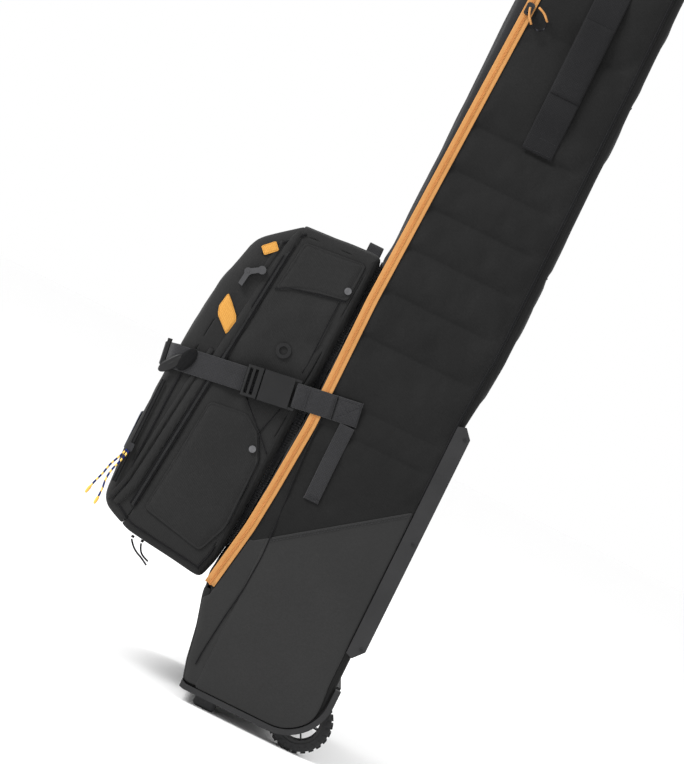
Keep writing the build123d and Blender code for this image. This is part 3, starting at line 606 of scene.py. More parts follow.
def off_nearest(value, marks):
    """How far a value is from the nearest of some marks."""
    return min(abs(value - mark) for mark in marks)


def seam_gap(z):
    """(how far along a quilted channel this height is, 0 to 1; distance to the nearest seam)."""
    below = max([s for s in SIDE_SEAMS if s <= z], default=413.0)
    above = min([s for s in SIDE_SEAMS if s > z], default=1729.0)
    return (z - below) / (above - below), min(z - below, above - z)


def shell_lift(x, z, near):
    """How far the quilted side stands out: seams pulled in, channels puffed, flat under the lower panel."""
    along, gap = seam_gap(z)
    from_zip = x - interpolate(ZIP_X, z)
    window = fade(from_zip, 9.0, 26.0) * fade(SEAM_END + 10 - x, 0.0, 22.0) * fade(z, 430, 445)
    seam = -3.4 * bell(gap, 4.5) * fade(from_zip, 6.0, 12.0) * fade(SEAM_END - x, 0.0, 14.0)
    puff = 1.5 * (sin(pi * along)) ** 0.8 if 0 < along < 1 else 0.0
    if 470 <= z <= 515:
        puff *= 0.25
    puff *= 1 - fade(z, 430, 520) * fade(560, z, z + 40)
    crease = 0.9 * ripple(x, near * 50, z, 55, 2) + 0.5 * ripple(x * 0.5, near * 50, z, 22, 3)
    return (puff + crease) * window + seam * fade(z, 440, 460)


def shell_hold(x, z):
    """How firmly the side is fixed while it is inflated: seams, zipper edge, piping, and what lies on it."""
    on_seam = seam_gap(z)[1] < 4 and x < SEAM_END and z > 440
    beside_zipper = x - interpolate(ZIP_X, z) < 11
    under_armor = z < armor_top(x) + 8 or z < 118
    under_anchor = 350 < z < 540 and x < -30
    under_grip_end = abs(x - GRIP_X) < 27 and (975 < z < 1015 or 1255 < z < 1295)
    return 1.0 if on_seam or beside_zipper or under_armor or under_anchor or under_grip_end else 0.0


def arc(cx, cz, radius, angles):
    """Points on an arc in the side plane, with their inward normals."""
    line = [(cx + radius * cos(a), cz + radius * sin(a)) for a in angles]
    return line, [(-cos(a), -sin(a)) for a in angles]


def build_shell():
    """bag_shell: sides behind the zipper, the back, the heel, the toe below the lid, and the crown."""
    heel_angles = np.linspace(-pi / 2, 0, 8)
    crown_angles = np.linspace(0, pi / 2, 8)
    crown_inner = CROWN_R - CROWN_ROUND
    rows_z = [HEEL_Z + (HEEL_R - TOE_R) * sin(a) for a in heel_angles]
    straight = heights(rows_z[-1], CROWN_TOP, 9.5, SIDE_SEAMS)[1:-1]
    rows_z += straight + [CROWN_TOP + crown_inner * sin(a) for a in crown_angles]
    heel, heel_normals = arc(HEEL_X, HEEL_Z, HEEL_R, heel_angles)
    crown, crown_normals = arc(BACK_X[-1][1] - CROWN_R, CROWN_TOP, CROWN_R, crown_angles)
    back = heel + [(interpolate(BACK_X, z), z) for z in straight] + crown
    normals = heel_normals + [(-1.0, 0.0)] * len(straight) + crown_normals
    rounding = [TOE_R] * len(heel) + [interpolate(BACK_ROUND, z) for z in straight]
    rounding += [CROWN_ROUND] * len(crown)
    shares = [0, 0.02, 0.045, 0.07] + list(np.linspace(0.11, 1, 21))
    grid = []
    for z, (x, _), (nx, _), r in zip(rows_z, back, normals, rounding):
        right = x + nx * r
        left = interpolate(ZIP_X, z) if z > LID_LOW else interpolate(FRONT_X, z) + TOE_R
        grid.append([(left + (right - left) * s, z) for s in shares])
    case = Case()
    case.side(grid, CASE_HALF, shell_lift, shell_hold)

    toe_z = [z for z in rows_z if z <= LID_LOW + 1][::-1]
    toe_z[0] = LID_LOW
    corner_x = interpolate(FRONT_X, rows_z[0]) + TOE_R
    corner, corner_normals = arc(corner_x, rows_z[0], TOE_R, np.linspace(pi, 1.5 * pi, 5))
    floor_x = [x for x, _ in grid[0]][1:-1]
    top_x = [x for x, _ in grid[-1]][::-1]
    line = [(interpolate(FRONT_X, z), z) for z in toe_z[:-1]] + corner + [(x, BASE) for x in floor_x]
    line += back[:-1] + [(x, LENGTH) for x in top_x]
    inward = [(1.0, 0.0)] * (len(toe_z) - 1) + corner_normals + [(0.0, 1.0)] * len(floor_x) + normals[:-1]
    inward += [(0.0, -1.0)] * len(top_x)
    radii = [TOE_R] * (len(toe_z) - 1 + len(corner) + len(floor_x)) + rounding[:-1]
    radii += [CROWN_ROUND] * len(top_x)

    def lift(x, y, z):
        """The padded back between its stays' channels, and a slightly slack toe."""
        if z < 120 and x > -60:
            return 0.0
        if x < -60:
            return 1.2 * ripple(x, y, z, 70, 5)
        channel = -1.6 * bell(abs(y) - BACK_SEAM_Y, 5) * fade(z, 600, 640)
        cross = off_nearest(z, BACK_SEAMS)
        channel -= 1.5 * bell(cross, 6)
        return channel + 1.1 * ripple(x, y, z, 60, 6) * fade(z, 560, 640)

    def hold(x, y, z):
        beside_seam = abs(abs(y) - BACK_SEAM_Y) < 8 or off_nearest(z, BACK_SEAMS) < 6
        return 1.0 if z < 600 or abs(y) > 160 or beside_seam else 0.0

    case.band(line, inward, radii, CASE_HALF, 14.0, lift, hold)
    case.finished("bag_shell_soft", "bag", "shell_fabric", "lining", 6.0, ["bag_shell"],
                  inflate_by=(3.0, 0.0042, 0.01))
    piping = [at(x + nx * r, 0, z + nz * r) for (x, z), (nx, nz), r in zip(back, normals, rounding) if z > 418]
    top_run = [at(x, 0, rows_z[-1]) for x in top_x[1:]]
    for near, label in SIDES:
        route = [Vector((p.x, near * (CASE_HALF + 0.6) * MM, p.z)) for p in piping + top_run]
        tube(f"{label}_side_piping", route, 0.0021, "bag", "piping", sides=8)


def build_lid():
    """lid_panel: the front face, its two side flanges up to the zipper, and the front of the crown."""
    flange = 15.0
    crown_x = FRONT_X[-1][1] + CROWN_R
    angles = np.linspace(pi, pi - radians(70), 6)
    arc_line, arc_normals = arc(crown_x, CROWN_TOP, CROWN_R, angles)
    straight = heights(LID_LOW + 0.6, CROWN_TOP, 10.0)[:-1]
    front = [(interpolate(FRONT_X, z), z) for z in straight] + arc_line
    normals = [(1.0, 0.0)] * len(straight) + arc_normals
    tip_x = interpolate(ZIP_X, LENGTH) - 0.6
    front.append((tip_x, CROWN_TOP + sqrt(CROWN_R ** 2 - (crown_x - tip_x) ** 2)))
    normals.append((0.0, -1.0))
    radii = [min(flange, max(4.0, interpolate(ZIP_X, z) - x - 1.5)) for x, z in front]
    shares = np.linspace(0, 1, 6)
    grid = []
    for (x, z), (nx, nz), r in zip(front, normals, radii):
        left, row_z = x + nx * r, z + nz * r
        right = max(left + 0.1, interpolate(ZIP_X, row_z) - 0.6)
        grid.append([(left + (right - left) * s, row_z) for s in shares])
    case = Case()
    case.side(grid, CASE_HALF, lambda x, z, near: 0.5 * ripple(x, near * 70, z, 30, 8), lambda x, z: 1.0)

    def lift(x, y, z):
        """The front face: a shallow crown, pulled in along its seams and slightly creased."""
        middle = 1 - (y / CASE_HALF) ** 2
        seam = -1.8 * bell(abs(y) - LID_SEAM_Y, 5)
        behind_pack = 2.6 * fade(z, 170, 184) * fade(770, z, z + 30) + 1.3 * fade(270, z, z + 40)
        crease = 1.2 * ripple(x, y, z, 70, 9) + 0.5 * ripple(x, y * 2, z * 0.7, 30, 10)
        return (1.0 + behind_pack) * middle + seam + crease

    def hold(x, y, z):
        beside_seam = abs(abs(y) - LID_SEAM_Y) < 8 or abs(y) > 166
        behind_pack = 230 < z < 740
        return 1.0 if beside_seam or behind_pack or z < 200 or z > 1715 else 0.0

    case.band(front, normals, radii, CASE_HALF, 14.0, lift, hold)
    case.finished("lid_panel_soft", "lid", "lid_fabric", "lining", 6.0, ["lid_panel"],
                  inflate_by=(3.0, 0.0035, 0.01))
    for near, label in SIDES:
        route = [at(x + nx * r, near * (CASE_HALF + 0.5), z + nz * r)
                 for (x, z), (nx, nz), r in zip(front, normals, radii) if z > 1320][:-1]
        tube(f"{label}_lid_piping", route, 0.002, "lid", "piping", sides=8)


# ---------------------------------------------------------------- the pack
SPLIT_LOW, SPLIT_TOP = (-303.7, 198.7), (-253.0, 728.1)
BODY_PATH = [SPLIT_LOW, (-290, 193), (-215, 184), (-160, 177), (-148, 215), (-124, 737), SPLIT_TOP]
PANEL_PATH = [SPLIT_TOP, (-312, 680), (-333, 600), (-348, 440), (-352, 300), (-345, 216), SPLIT_LOW]
PANEL_SEAMS, PANEL_SEAM_Y = (455, 640), 128  # its cross seams' heights, and where its upright ones are
PACK_SKIN = PACK_HALF - 0.9


def rounded_line(points, radius, steps=8):
    """An open 2-D line with its corners rounded."""
    out = [np.array(points[0], float)]
    for a, b, c in zip(points, points[1:], points[2:]):
        a, b, c = (np.array(p, float) for p in (a, b, c))
        u, v = (a - b) / np.linalg.norm(a - b), (c - b) / np.linalg.norm(c - b)
        turn = pi - np.arccos(np.clip(u @ v, -1, 1))
        reach = min(radius * tan(turn / 2), 0.45 * np.linalg.norm(a - b), 0.45 * np.linalg.norm(c - b))
        out += [(b + u * reach) * (1 - f) ** 2 + b * 2 * f * (1 - f) + (b + v * reach) * f ** 2
                for f in np.linspace(0, 1, steps + 1)]
    return np.array(out + [np.array(points[-1], float)])


def side_line(points, radius, spacing):
    """An outline of (x, z) with rounded corners, divided evenly, as vectors in millimetres."""
    return divided([Vector((x, 0, z)) for x, z in rounded_line(points, radius)], spacing)


def resampled(line, count):
    """A 2-D line as this many evenly spaced points."""
    walked = np.concatenate([[0], np.cumsum(np.linalg.norm(np.diff(line, axis=0), axis=1))])
    at_share = np.linspace(0, walked[-1], count)
    return np.stack([np.interp(at_share, walked, line[:, k]) for k in (0, 1)], axis=1)


def stations(path, radius, corners, counts):
    """(points, inward normals) along a case's outline, with these counts in the parts between the corners."""
    line = rounded_line(path, radius)
    nearest = [int(np.argmin(np.linalg.norm(line - np.array(c), axis=1))) for c in corners]
    cuts = [0] + nearest + [len(line) - 1]
    parts = [resampled(line[a:b + 1], n) for a, b, n in zip(cuts, cuts[1:], counts)]
    points = np.concatenate([parts[0]] + [part[1:] for part in parts[1:]])
    tangents = np.gradient(points, axis=0)
    tangents /= np.linalg.norm(tangents, axis=1)[:, None]
    return points, np.stack([-tangents[:, 1], tangents[:, 0]], axis=1)


def strap_offset(x, z):
    """How far a point of the side is from the pack strap's middle line."""
    return -(x - STRAP_X) * sin(STRAP_TILT) + (z - STRAP_Z) * cos(STRAP_TILT)


def pack_lift(x, z, near):
    """The pack's side: pinched under the strap, fuller beside it, with soft creases."""
    off = strap_offset(x, z)
    pinch = -2.4 * bell(off, 26) + 0.8 * bell(abs(off) - 52, 22)
    return pinch + 0.7 * ripple(x, near * 90, z, 60, 12) + 0.35 * ripple(x * 1.6, near * 90, z, 26, 13)


def pack_hold(x, z):
    """The pack's side is free to fill out only away from what is sewn onto it."""
    if abs(strap_offset(x, z)) < 22 or z < 250 or z > 700:
        return 1.0
    inside_pocket = -290 < x < -150 and 205 < z < 440
    inside_flap = x > -262 and z > 612
    round_eyelet = hypot(x + 198, z - 544) < 22
    return 1.0 if inside_pocket or inside_flap or round_eyelet else 0.0


def build_pack():
    """pack_body and pack_panel, with the piping round their edges."""
    columns, rows = 13, 52
    body, inward = stations(BODY_PATH, 5, [(-160, 177), (-124, 737)], [columns, rows, columns])
    rounding = np.full(len(body), 13.0)
    inner = body + inward * rounding[:, None]
    bottom, right = inner[:columns], inner[columns - 1:columns + rows - 1]
    top = inner[columns + rows - 2:][::-1]
    left = resampled(np.array([bottom[0] + (0.6, 0), top[0] + (0.6, 0)]), rows)
    case = Case()
    case.side(coons(left, right, bottom, top).tolist(), PACK_SKIN, pack_lift, pack_hold)

    def body_lift(x, y, z):
        return 1.0 * ripple(x, y, z, 60, 14) * fade(-150 - x, 0, 12)

    case.band(body.tolist(), inward.tolist(), rounding.tolist(), PACK_SKIN, 14.0, body_lift,
              lambda x, y, z: 1.0 if x > -200 and z < 720 or abs(y) > 150 or z < 205 or abs(y) < 75 else 0.0)
    case.finished("pack_body_soft", "pack", "pack_fabric", "lining", 3.5, ["pack_body"],
                  inflate_by=(3.0, 0.0045, 0.012))
    for near, label in SIDES:
        low_edge = [at(x, near * (PACK_SKIN + 0.2), z) for x, z in inner if z < 235]
        tube(f"{label}_pack_piping", low_edge, 0.0016, "pack", "piping", sides=8)

    panel, inward = stations(PANEL_PATH, 40, [(-312, 680), (-345, 216)], [8, rows, 6])
    along = np.linspace(0, 1, len(panel))
    rounding = 13.0 + 12.0 * np.clip(np.sin(pi * along) * 2.2, 0, 1)
    inner = panel + inward * rounding[:, None]
    top, left, bottom = inner[:8][::-1], inner[7:rows + 7][::-1], inner[rows + 6:]
    right = resampled(np.array([bottom[-1], top[-1]]), rows)
    # top and bottom need as many points as each other
    bottom = resampled(bottom, 8)
    case = Case()
    case.side(coons(left, right, bottom, top).tolist(), PACK_SKIN,
              lambda x, z, near: pack_lift(x, z, near) * 0.6, lambda x, z: 1.0)

    def front_lift(x, y, z):
        """The front face: an upper and a lower pocket, full between their seams."""
        seam = min(off_nearest(z, PANEL_SEAMS), abs(abs(y) - PANEL_SEAM_Y))
        full = 3.2 * (1 - (y / 130) ** 2) if abs(y) < 130 else 0.0
        beside_patch = 1 - (1 - fade(abs(z - 333), 38, 58)) * (1 - fade(abs(y + 98), 46, 64))
        puff = full * fade(seam, 3, 26) + 0.9 * ripple(x, y, z, 50, 15)
        return puff * beside_patch - 1.4 * bell(seam, 4)

    def front_hold(x, y, z):
        seam = min(off_nearest(z, PANEL_SEAMS), abs(abs(y) - PANEL_SEAM_Y))
        under_patch = 290 < z < 380 and y < -50
        return 1.0 if seam < 6 or abs(y) > PANEL_SEAM_Y or z < 225 or z > 690 or under_patch else 0.0

    case.band(panel.tolist(), inward.tolist(), rounding.tolist(), PACK_SKIN, 12.0, front_lift, front_hold)
    case.finished("pack_panel_soft", "pack_front", "pack_fabric", "lining", 3.5, ["pack_panel"],
                  inflate_by=(3.0, 0.004, 0.012))
    for near, label in SIDES:
        edge = [at(x, near * (PACK_SKIN + 0.5), z) for x, z in inner if z > 660 or z < 480]
        upper, lower = [p for p in edge if p.z > 0.57], [p for p in edge if p.z < 0.57]
        for end, run in (("upper", upper), ("lower", lower)):
            tube(f"{label}_panel_piping_{end}", run, 0.002, "pack_front", "piping", sides=8)
        build_roll(near, label)


def build_roll(near, label):
    """The padded roll that covers the pack's zipper, with a narrower ridge in front of it."""
    for name, shift, half, high in (("roll", 8.3, 7.2, 4.2), ("ridge", 21.5, 4.2, 2.6)):
        line = [(-317 - shift * 0.9, 224), (-304 - shift, 262), (-282 - shift, 452), (-275 - shift, 498),
                (-251 - shift, 693)]
        if name == "roll":
            line.append((-249.5 - shift * 0.6, 716))
        route = side_line(line, 60, 6.0)
        # the ridge is broken where the gold loop and the toggle are
        broken = [[p for p in route if p.z < 500], [p for p in route if p.z > 640]]
        runs = [route] if name == "roll" else broken
        for number, run in enumerate(runs):
            vertices, count = [], 9
            for i, p in enumerate(run):
                along = heading(run, i)
                across = Vector((along.z, 0, -along.x))
                ends = fade(min(i, len(run) - 1 - i), -1, 3)
                top = 1.7 + (high - 1.7) * fade(abs(strap_offset(p.x, p.z)), 22, 40) * ends
                top -= (top - 1.0) * (1 - fade(abs(p.z - 628), 38, 62))  # low where the toggle swings
                width = half * (1 + 0.06 * ripple(p.x, near * 40, p.z, 30, 31)) * (0.55 + 0.45 * ends)
                for k in range(count):
                    turn = pi * k / (count - 1)
                    spot = p + across * (cos(turn) * width)
                    rise = PACK_SKIN - 0.6 + (top + 1.2) * sin(turn) ** 0.8
                    vertices.append(at(spot.x, near * rise, spot.z))
            faces = grid_faces(len(run), count, closed=True) + end_caps(len(run), count)
            roll = solid(f"{label}_pack_{name}_{number + 1}", vertices, faces, "pack_front", "pack_fabric")


def build_seams():
    """The sewn lines on the bag's back, as fine piping in their channels."""
    for near, label in SIDES:
        back = [at(interpolate(BACK_X, z) - 1.1, near * BACK_SEAM_Y, z) for z in np.linspace(640, 1690, 60)]
        tube(f"{label}_back_seam", back, 0.0013, "bag", "piping", sides=6)
    for z in BACK_SEAMS:
        line = [at(interpolate(BACK_X, z) - 0.4, y, z) for y in np.linspace(-160, 160, 30)]
        tube(f"back_cross_seam_{z}", line, 0.0012, "bag", "piping", sides=6)


build_shell()
build_lid()
build_pack()
build_seams()


# ---------------------------------------------------------------- pieces sewn flat on a side
def applique(name, outline, y, thick, body, material, stands_for=(), crown=0.8, radius=5.0, facing="side",
             offset=0.0, edge_seam=4.0):
    """A sewn-on shape: turned edge, a stitched groove just inside it, and a slightly full middle.

    outline is a list of (x, z), or of (y, z) for facing="front", where offset is its x. y is the signed
    distance of the face it lies on, and it grows outward.
    """
    outline = [np.array(p, float) for p in outline]
    start = (outline[0] + outline[1]) / 2
    line = rounded_line([start] + outline[1:] + [outline[0], start], radius)
    count = max(24, int(sum(np.linalg.norm(np.diff(line, axis=0), axis=1)) / 5))
    closed = resampled(line, count + 1)[:-1]
    centre = closed.mean(axis=0)
    reach = np.linalg.norm(closed - centre, axis=1)
    rings = [(0.0, 0.0), (0.0, thick * 0.7), (0.8, thick), (edge_seam * 0.7, thick * 1.02),
             (edge_seam, thick * 0.55), (edge_seam * 1.3, thick * 1.02)]
    out = -1 if y < 0 or facing == "front" else 1

    def place(point, height):
        if facing == "front":
            return at(offset - height, point[0], point[1])
        return at(point[0], y + out * height, point[1])

    vertices = []
    for inset, height in rings:
        vertices += [place(p + (centre - p) * min(0.9, inset / r), height) for p, r in zip(closed, reach)]
    inner = [1 - edge_seam * 1.3 / r for r in reach]
    shares = (0.82, 0.6, 0.38, 0.18)
    for share in shares:
        height = thick + crown * (1 - share ** 2)
        spots = [centre + (p - centre) * k * share for p, k in zip(closed, inner)]
        vertices += [place(spot, height + 0.12 * ripple(spot[0], 0, spot[1], 45, 21)) for spot in spots]
    total = len(rings) + len(shares)
    faces = grid_faces(total, count, closed=True)
    vertices.append(place(centre, thick + crown))
    last = (total - 1) * count
    faces += [(last + k, last + (k + 1) % count, len(vertices) - 1) for k in range(count)]
    faces.append(tuple(range(count)))
    return solid(name, vertices, faces, body, material, stands_for=stands_for)


def stitches(name, route, outward_way, body, pitch=0.0052, length=0.0034, thick=0.0007, material="thread"):
    """A line of separate stitches lying on a surface along a route, in metres."""
    points = divided([Vector(p) for p in route], 0.001)
    walked, next_at, vertices, faces = 0.0, pitch, [], []
    way = Vector(outward_way).normalized()
    for a, b in zip(points, points[1:]):
        walked += (b - a).length
        if walked < next_at:
            continue
        next_at += pitch
        along = (b - a).normalized()
        side = along.cross(way).normalized() * thick * 0.5
        first = len(vertices)
        for share, high in ((-0.5, 0.0), (-0.3, 0.8), (0.3, 0.8), (0.5, 0.0)):
            middle = b + along * (share * length) + way * (high * thick * 0.5)
            vertices += [middle - side - way * thick * 0.3, middle + side - way * thick * 0.3,
                         middle + side * 0.5 + way * thick * 0.4, middle - side * 0.5 + way * thick * 0.4]
        faces += grid_faces(4, 4, closed=True, first=first)
        faces += end_caps(4, 4, first)
    return solid(name, vertices, faces, body, material, smooth=False)


def coated_skin(name, vertices, rows, columns, near, stands_for=()):
    """A sheet of coated fabric on one side of the bag, facing away from it, from a grid of points."""
    obj = piece(name, vertices, grid_faces(rows, columns), "bag", "armor_fabric", stands_for=stands_for)
    with edited(obj) as bm:
        bmesh.ops.recalc_face_normals(bm, faces=bm.faces)
        if sum(f.normal.y for f in bm.faces) * near < 0:
            bmesh.ops.reverse_faces(bm, faces=bm.faces)
    thicken(obj, 0.0016)


def build_armor():
    """The coated lower side panels: smooth sheets that follow the heel, stitched along their slope."""
    for near, label in SIDES:
        low, heel = BASE + 1.2, HEEL_R - 1.6
        columns, rows = 24, 30
        heel_line, _ = arc(HEEL_X, HEEL_Z, heel, np.linspace(-pi / 2, 0, 10))
        right = resampled(np.array(heel_line[2:] + [(89, 110), (89, 150), ARMOR_SLOPE[1]]), rows)
        right[:, 0] = np.minimum(right[:, 0], 92)
        bottom = resampled(np.array([(-93, low)] + heel_line[:3]), columns)
        left = resampled(np.array([(-93, low), (-94, 279)]), rows)
        top = resampled(np.array([(-94, 279), ARMOR_SLOPE[1]]), columns)
        grid = coons(left, right, bottom, top)
        vertices = []
        for r in range(rows):
            for c in range(columns):
                x, z = grid[r, c]
                edge = min(r, rows - 1 - r, c, columns - 1 - c)
                lift = 0.9 * fade(edge, 0, 5) + 0.5 * ripple(x, near * 30, z, 75, 22) * fade(edge, 0, 4)
                vertices.append(at(x, near * (TAPE_Y + 0.9 + lift), z))
        coated_skin(f"{label}_armor_skin", vertices, rows, columns, near, [f"{label}_side_armor"])
        low_z, high_z = 30, 276
        rows_z = np.linspace(low_z, high_z, 42)
        vertices = []
        for z in rows_z:
            front = max(interpolate(FRONT_X, z) + 3.5, interpolate(ZIP_X, z) + 8.5 if z > 166 else -200)
            back = min(-93.0, interpolate(FRONT_X, z) + 90)
            for share in np.linspace(0, 1, 12):
                x = front + (back + 1.5 - front) * share
                inset = x - interpolate(FRONT_X, z)
                beyond = min(TOE_R, max(0.0, TOE_R - inset))
                round_off = TOE_R - sqrt(TOE_R ** 2 - beyond ** 2)
                height = CASE_HALF + 0.9 - round_off + 0.35 * ripple(x, near * 60, z, 40, 23)
                share_z = (z - low_z) / (high_z - low_z)
                vertices.append(at(x, near * height, low_z + share_z * (armor_top(x) - low_z - 0.5)))
        coated_skin(f"{label}_toe_skin", vertices, len(rows_z), 12, near)
        seam = [(-107, 60), (-106, 81), (-100, 138), (-92, 194), (-89, 250), (-91.5, 305), (-97, 375),
                (-100, 426), (-101, 478)]
        line = [at(p.x, near * (TAPE_Y + 1.0), p.z) for p in side_line(seam, 120, 8.0)]
        tube(f"{label}_front_seam", line, 0.0011, "bag", "piping", sides=6)
        for inset in (3.0, 7.0):
            y = near * (TAPE_Y + 1.6)
            line = [at(-92, y, 280 - inset), at(88, y, 412 - inset)]
            stitches(f"{label}_armor_stitch_{int(inset)}", line, (0, near, 0), "bag")


def zipper(name, route, side_of, width, body_a, body_b, node_a, node_b, tape, coil, y_out, pitch=2.4,
           tooth=1.9):
    """Both halves of a zipper: woven tapes, and interlocking coil teeth along the line between them.

    route is a list of (x, z); side_of is -1 on the near side; y_out is the tape's outer face.
    """
    points = side_line(route, 260, 12.0)
    for half, end, body, node in ((-1, "front", body_a, node_a), (1, "back", body_b, node_b)):
        line = []
        for i, p in enumerate(points):
            along = heading(points, i)
            across = Vector((along.z, 0, -along.x)) * half
            if across.x * half < 0:
                across = -across
            line.append((p, across))
        middle = [at(p.x + a.x * (0.1 + width / 2), side_of * (y_out - 0.6), p.z + a.z * (0.1 + width / 2))
                  for p, a in line]
        ribbon(f"{name}_tape_{end}", middle, (1, 0, 0), width * MM, 0.0012, body, tape,
               stands_for=[node] if node else ())
        vertices, faces = [], []
        walked = 0.0
        for (p, a), (q, _) in zip(line, line[1:]):
            run = (q - p).length
            along = (q - p).normalized()
            while walked < run:
                base = p + along * (walked + (pitch / 2 if half > 0 else 0.0))
                first = len(vertices)
                for da, dz in ((-0.75, -0.32), (0.95, -0.42), (0.95, 0.42), (-0.75, 0.32)):
                    for height in (-0.35, 0.8):
                        shrink = 0.75 if height > 0 else 1.0
                        spot = base + a * (da * tooth * shrink + 0.7) + along * (dz * pitch * shrink)
                        vertices.append(at(spot.x, side_of * (y_out + height), spot.z))
                faces.append((first, first + 2, first + 4, first + 6))
                faces.append((first + 7, first + 5, first + 3, first + 1))
                for k in range(4):
                    n = (k + 1) % 4
                    faces.append((first + 2 * k, first + 2 * k + 1, first + 2 * n + 1, first + 2 * n))
                walked += pitch
            walked -= run
        solid(f"{name}_teeth_{end}", vertices, faces, body, coil, smooth=False, slot_name=tape)


build_armor()
zipper("main_zip", [(x, z) for z, x in reversed([(178, -141.8)] + ZIP_X[1:-1] + [(1722, -73.2)])], -1, 8.4,
       "lid", "bag", "zip_tape_lid", "zip_tape_shell", "gold_tape", "gold_coil", TAPE_Y + 1.3)
split = [(SPLIT_TOP[0] - 3.6 + 0.3, 695), (SPLIT_LOW[0] + 3.4, 233)]
zipper("pack_zip", split, -1, 4.6, "pack_front", "pack", "pack_zip_tape_panel", "pack_zip_tape_body",
       "black_tape", "black_coil", PACK_HALF + 1.5, pitch=1.9, tooth=1.5)
zipper("pocket_zip", [(-341, 424), (-341, 252)], -1, 3.2, "pack_front", "pack_front", "pocket_zip_tape", None,
       "black_tape", "black_coil", PACK_HALF + 1.3, pitch=1.6, tooth=1.0)


# ---------------------------------------------------------------- webbing
WEB_THICK = 0.0018  # flat webbing, in metres


def build_anchors():
    """The strap's ends on the bag: the near one sewn and cross-stitched, its tail, and the far loop."""
    patch = divided([strap_at(0, -186.4), strap_at(-40, -186.6)], 0.006)
    ribbon("near_anchor_sewn", patch, STRAP_ACROSS, 0.038, WEB_THICK, "bag", stands_for=["near_anchor_patch"])
    for n in (-15.5, 15.5):
        stitches(f"anchor_stitch_{'low' if n < 0 else 'high'}",
                 [strap_at(-1, -187.5, n), strap_at(-39, -187.6, n)], (0, -1, 0), "bag")
    for start, end in ((-3, -37), (-37, -3)):
        stitches(f"anchor_cross_{abs(start)}", [strap_at(start, -187.6, -14), strap_at(end, -187.6, 14)],
                 (0, -1, 0), "bag")
    loop_end = [(-92, 190.4), (-103.6, 190.4), (-103.6, 182.6), (-91, 182.6)]
    near = [strap_at(t, -y) for t, y in [(-40.5, 188.5), (-78, 188.5)] + loop_end]
    ribbon("near_anchor_free", eased(near, 0.008), STRAP_ACROSS, 0.038, WEB_THICK, "near_anchor",
           stands_for=["near_anchor_webbing"])
    for t in (-84, -88):
        stitches(f"near_anchor_bar_{-t}", [strap_at(t, -190.6, -16), strap_at(t, -190.6, 16)], (0, -1, 0),
                 "near_anchor", pitch=0.0036, length=0.003)
    far = [strap_at(t, y) for t, y in [(-78, 128), (-78, 180), (-83, 190.4)] + loop_end]
    ribbon("far_anchor_loop", eased(far, 0.008), STRAP_ACROSS, 0.038, WEB_THICK, "lid",
           stands_for=["far_anchor_webbing"])
    tail = divided([at(-60, -186.3, 484), at(-60.5, -186.5, 420), at(-60, -186.4, 358)], 0.008)
    ribbon("near_anchor_tail_band", tail, (1, 0, 0), 0.024, WEB_THICK, "bag", stands_for=["near_anchor_tail"])
    for z in (362, 366):
        stitches(f"tail_stitch_{z}", [at(-70, -187.5, z), at(-50, -187.5, z)], (0, -1, 0), "bag", pitch=0.0036,
                 length=0.003)


def build_pack_strap():
    """The strap round the pack's front, its folded spare end, and the two lumps where that is gathered."""
    side = [(-163, 180.4), (-190, 180.4), (-215, 177.3), (-298, 177.3), (-308.6, 156)]
    route = [strap_at(t, -y) for t, y in side] + [strap_at(t, y) for t, y in reversed(side)]
    ribbon("pack_strap_band", eased(route, 0.01, 0.42), STRAP_ACROSS, 0.038, WEB_THICK, "strap",
           stands_for=["pack_strap"])
    # the folded spare end, held in the tri-glide
    spare = [(-311.5, -157), (-316.4, -152), (-316.6, -134), (-312.5, -128), (-312.3, -96)]
    spare = eased([strap_at(t, y) for t, y in spare], 0.006)
    ribbon("strap_spare_end", spare, STRAP_ACROSS, 0.036, WEB_THICK, "strap")

    for name, centre, half_wide, half_high, turn, depth, material in (
            ("strap_roll", (-323, 467), 11.0, 21.0, -0.27, 4.6, "black_tape"),
            ("strap_lock_end", (-342, 452), 9.0, 23.0, -0.62, 3.2, "hard_black")):
        vertices, count, rings = [], 32, 9
        for ring in range(rings):
            rise = ring / (rings - 1) * pi / 2
            for k in range(count):
                angle = 2 * pi * k / count
                a, b = half_wide * cos(angle) * cos(rise) ** 0.7, half_high * sin(angle) * cos(rise) ** 0.7
                ridge = 0.5 * cos(a * 1.1) * cos(rise)
                vertices.append(at(centre[0] + a * cos(turn) - b * sin(turn),
                                   -(178.3 + depth * sin(rise) ** 0.8 + ridge * fade(ring, 0, 2)),
                                   centre[1] + a * sin(turn) + b * cos(turn)))
        faces = grid_faces(rings, count, closed=True) + end_caps(rings, count)
        solid(name, vertices, faces, "strap", material, slot_name="webbing")


def build_side_grips():
    """A grip on each side of the bag: a strap stitched down at both ends, with a padded wrap between them."""
    y0 = TAPE_Y + 1.4
    for near_side, label in SIDES:
        line = [(980, y0), (1010, y0), (1042, y0 + 9.6), (1226, y0 + 9.6), (1258, y0), (1288, y0)]
        line = [at(GRIP_X, near_side * y, z) for z, y in line]
        ribbon(f"{label}_side_grip", eased(line, 0.008), (1, 0, 0), 0.050, 0.0028, "bag", "handle_webbing",
               stands_for=[f"{label}_side_handle"])
        grip = [at(GRIP_X, near_side * (y0 + 9.7), 1072), at(GRIP_X, near_side * (y0 + 9.9), 1196)]
        wrap = ribbon(f"{label}_grip_wrap", divided(grip, 0.006), (1, 0, 0), 0.0485, 0.0052, "bag",
                      "handle_webbing", slot_name="webbing",
                      puff=lambda share: 0.0006 * sin(pi * share) ** 0.5)
        for z in (984, 1004, 1264, 1284):
            line = [at(GRIP_X + x, near_side * (y0 + 1.5), z) for x in (-23, 23)]
            stitches(f"{label}_grip_stitch_{z}", line, (0, near_side, 0), "bag", pitch=0.0042)


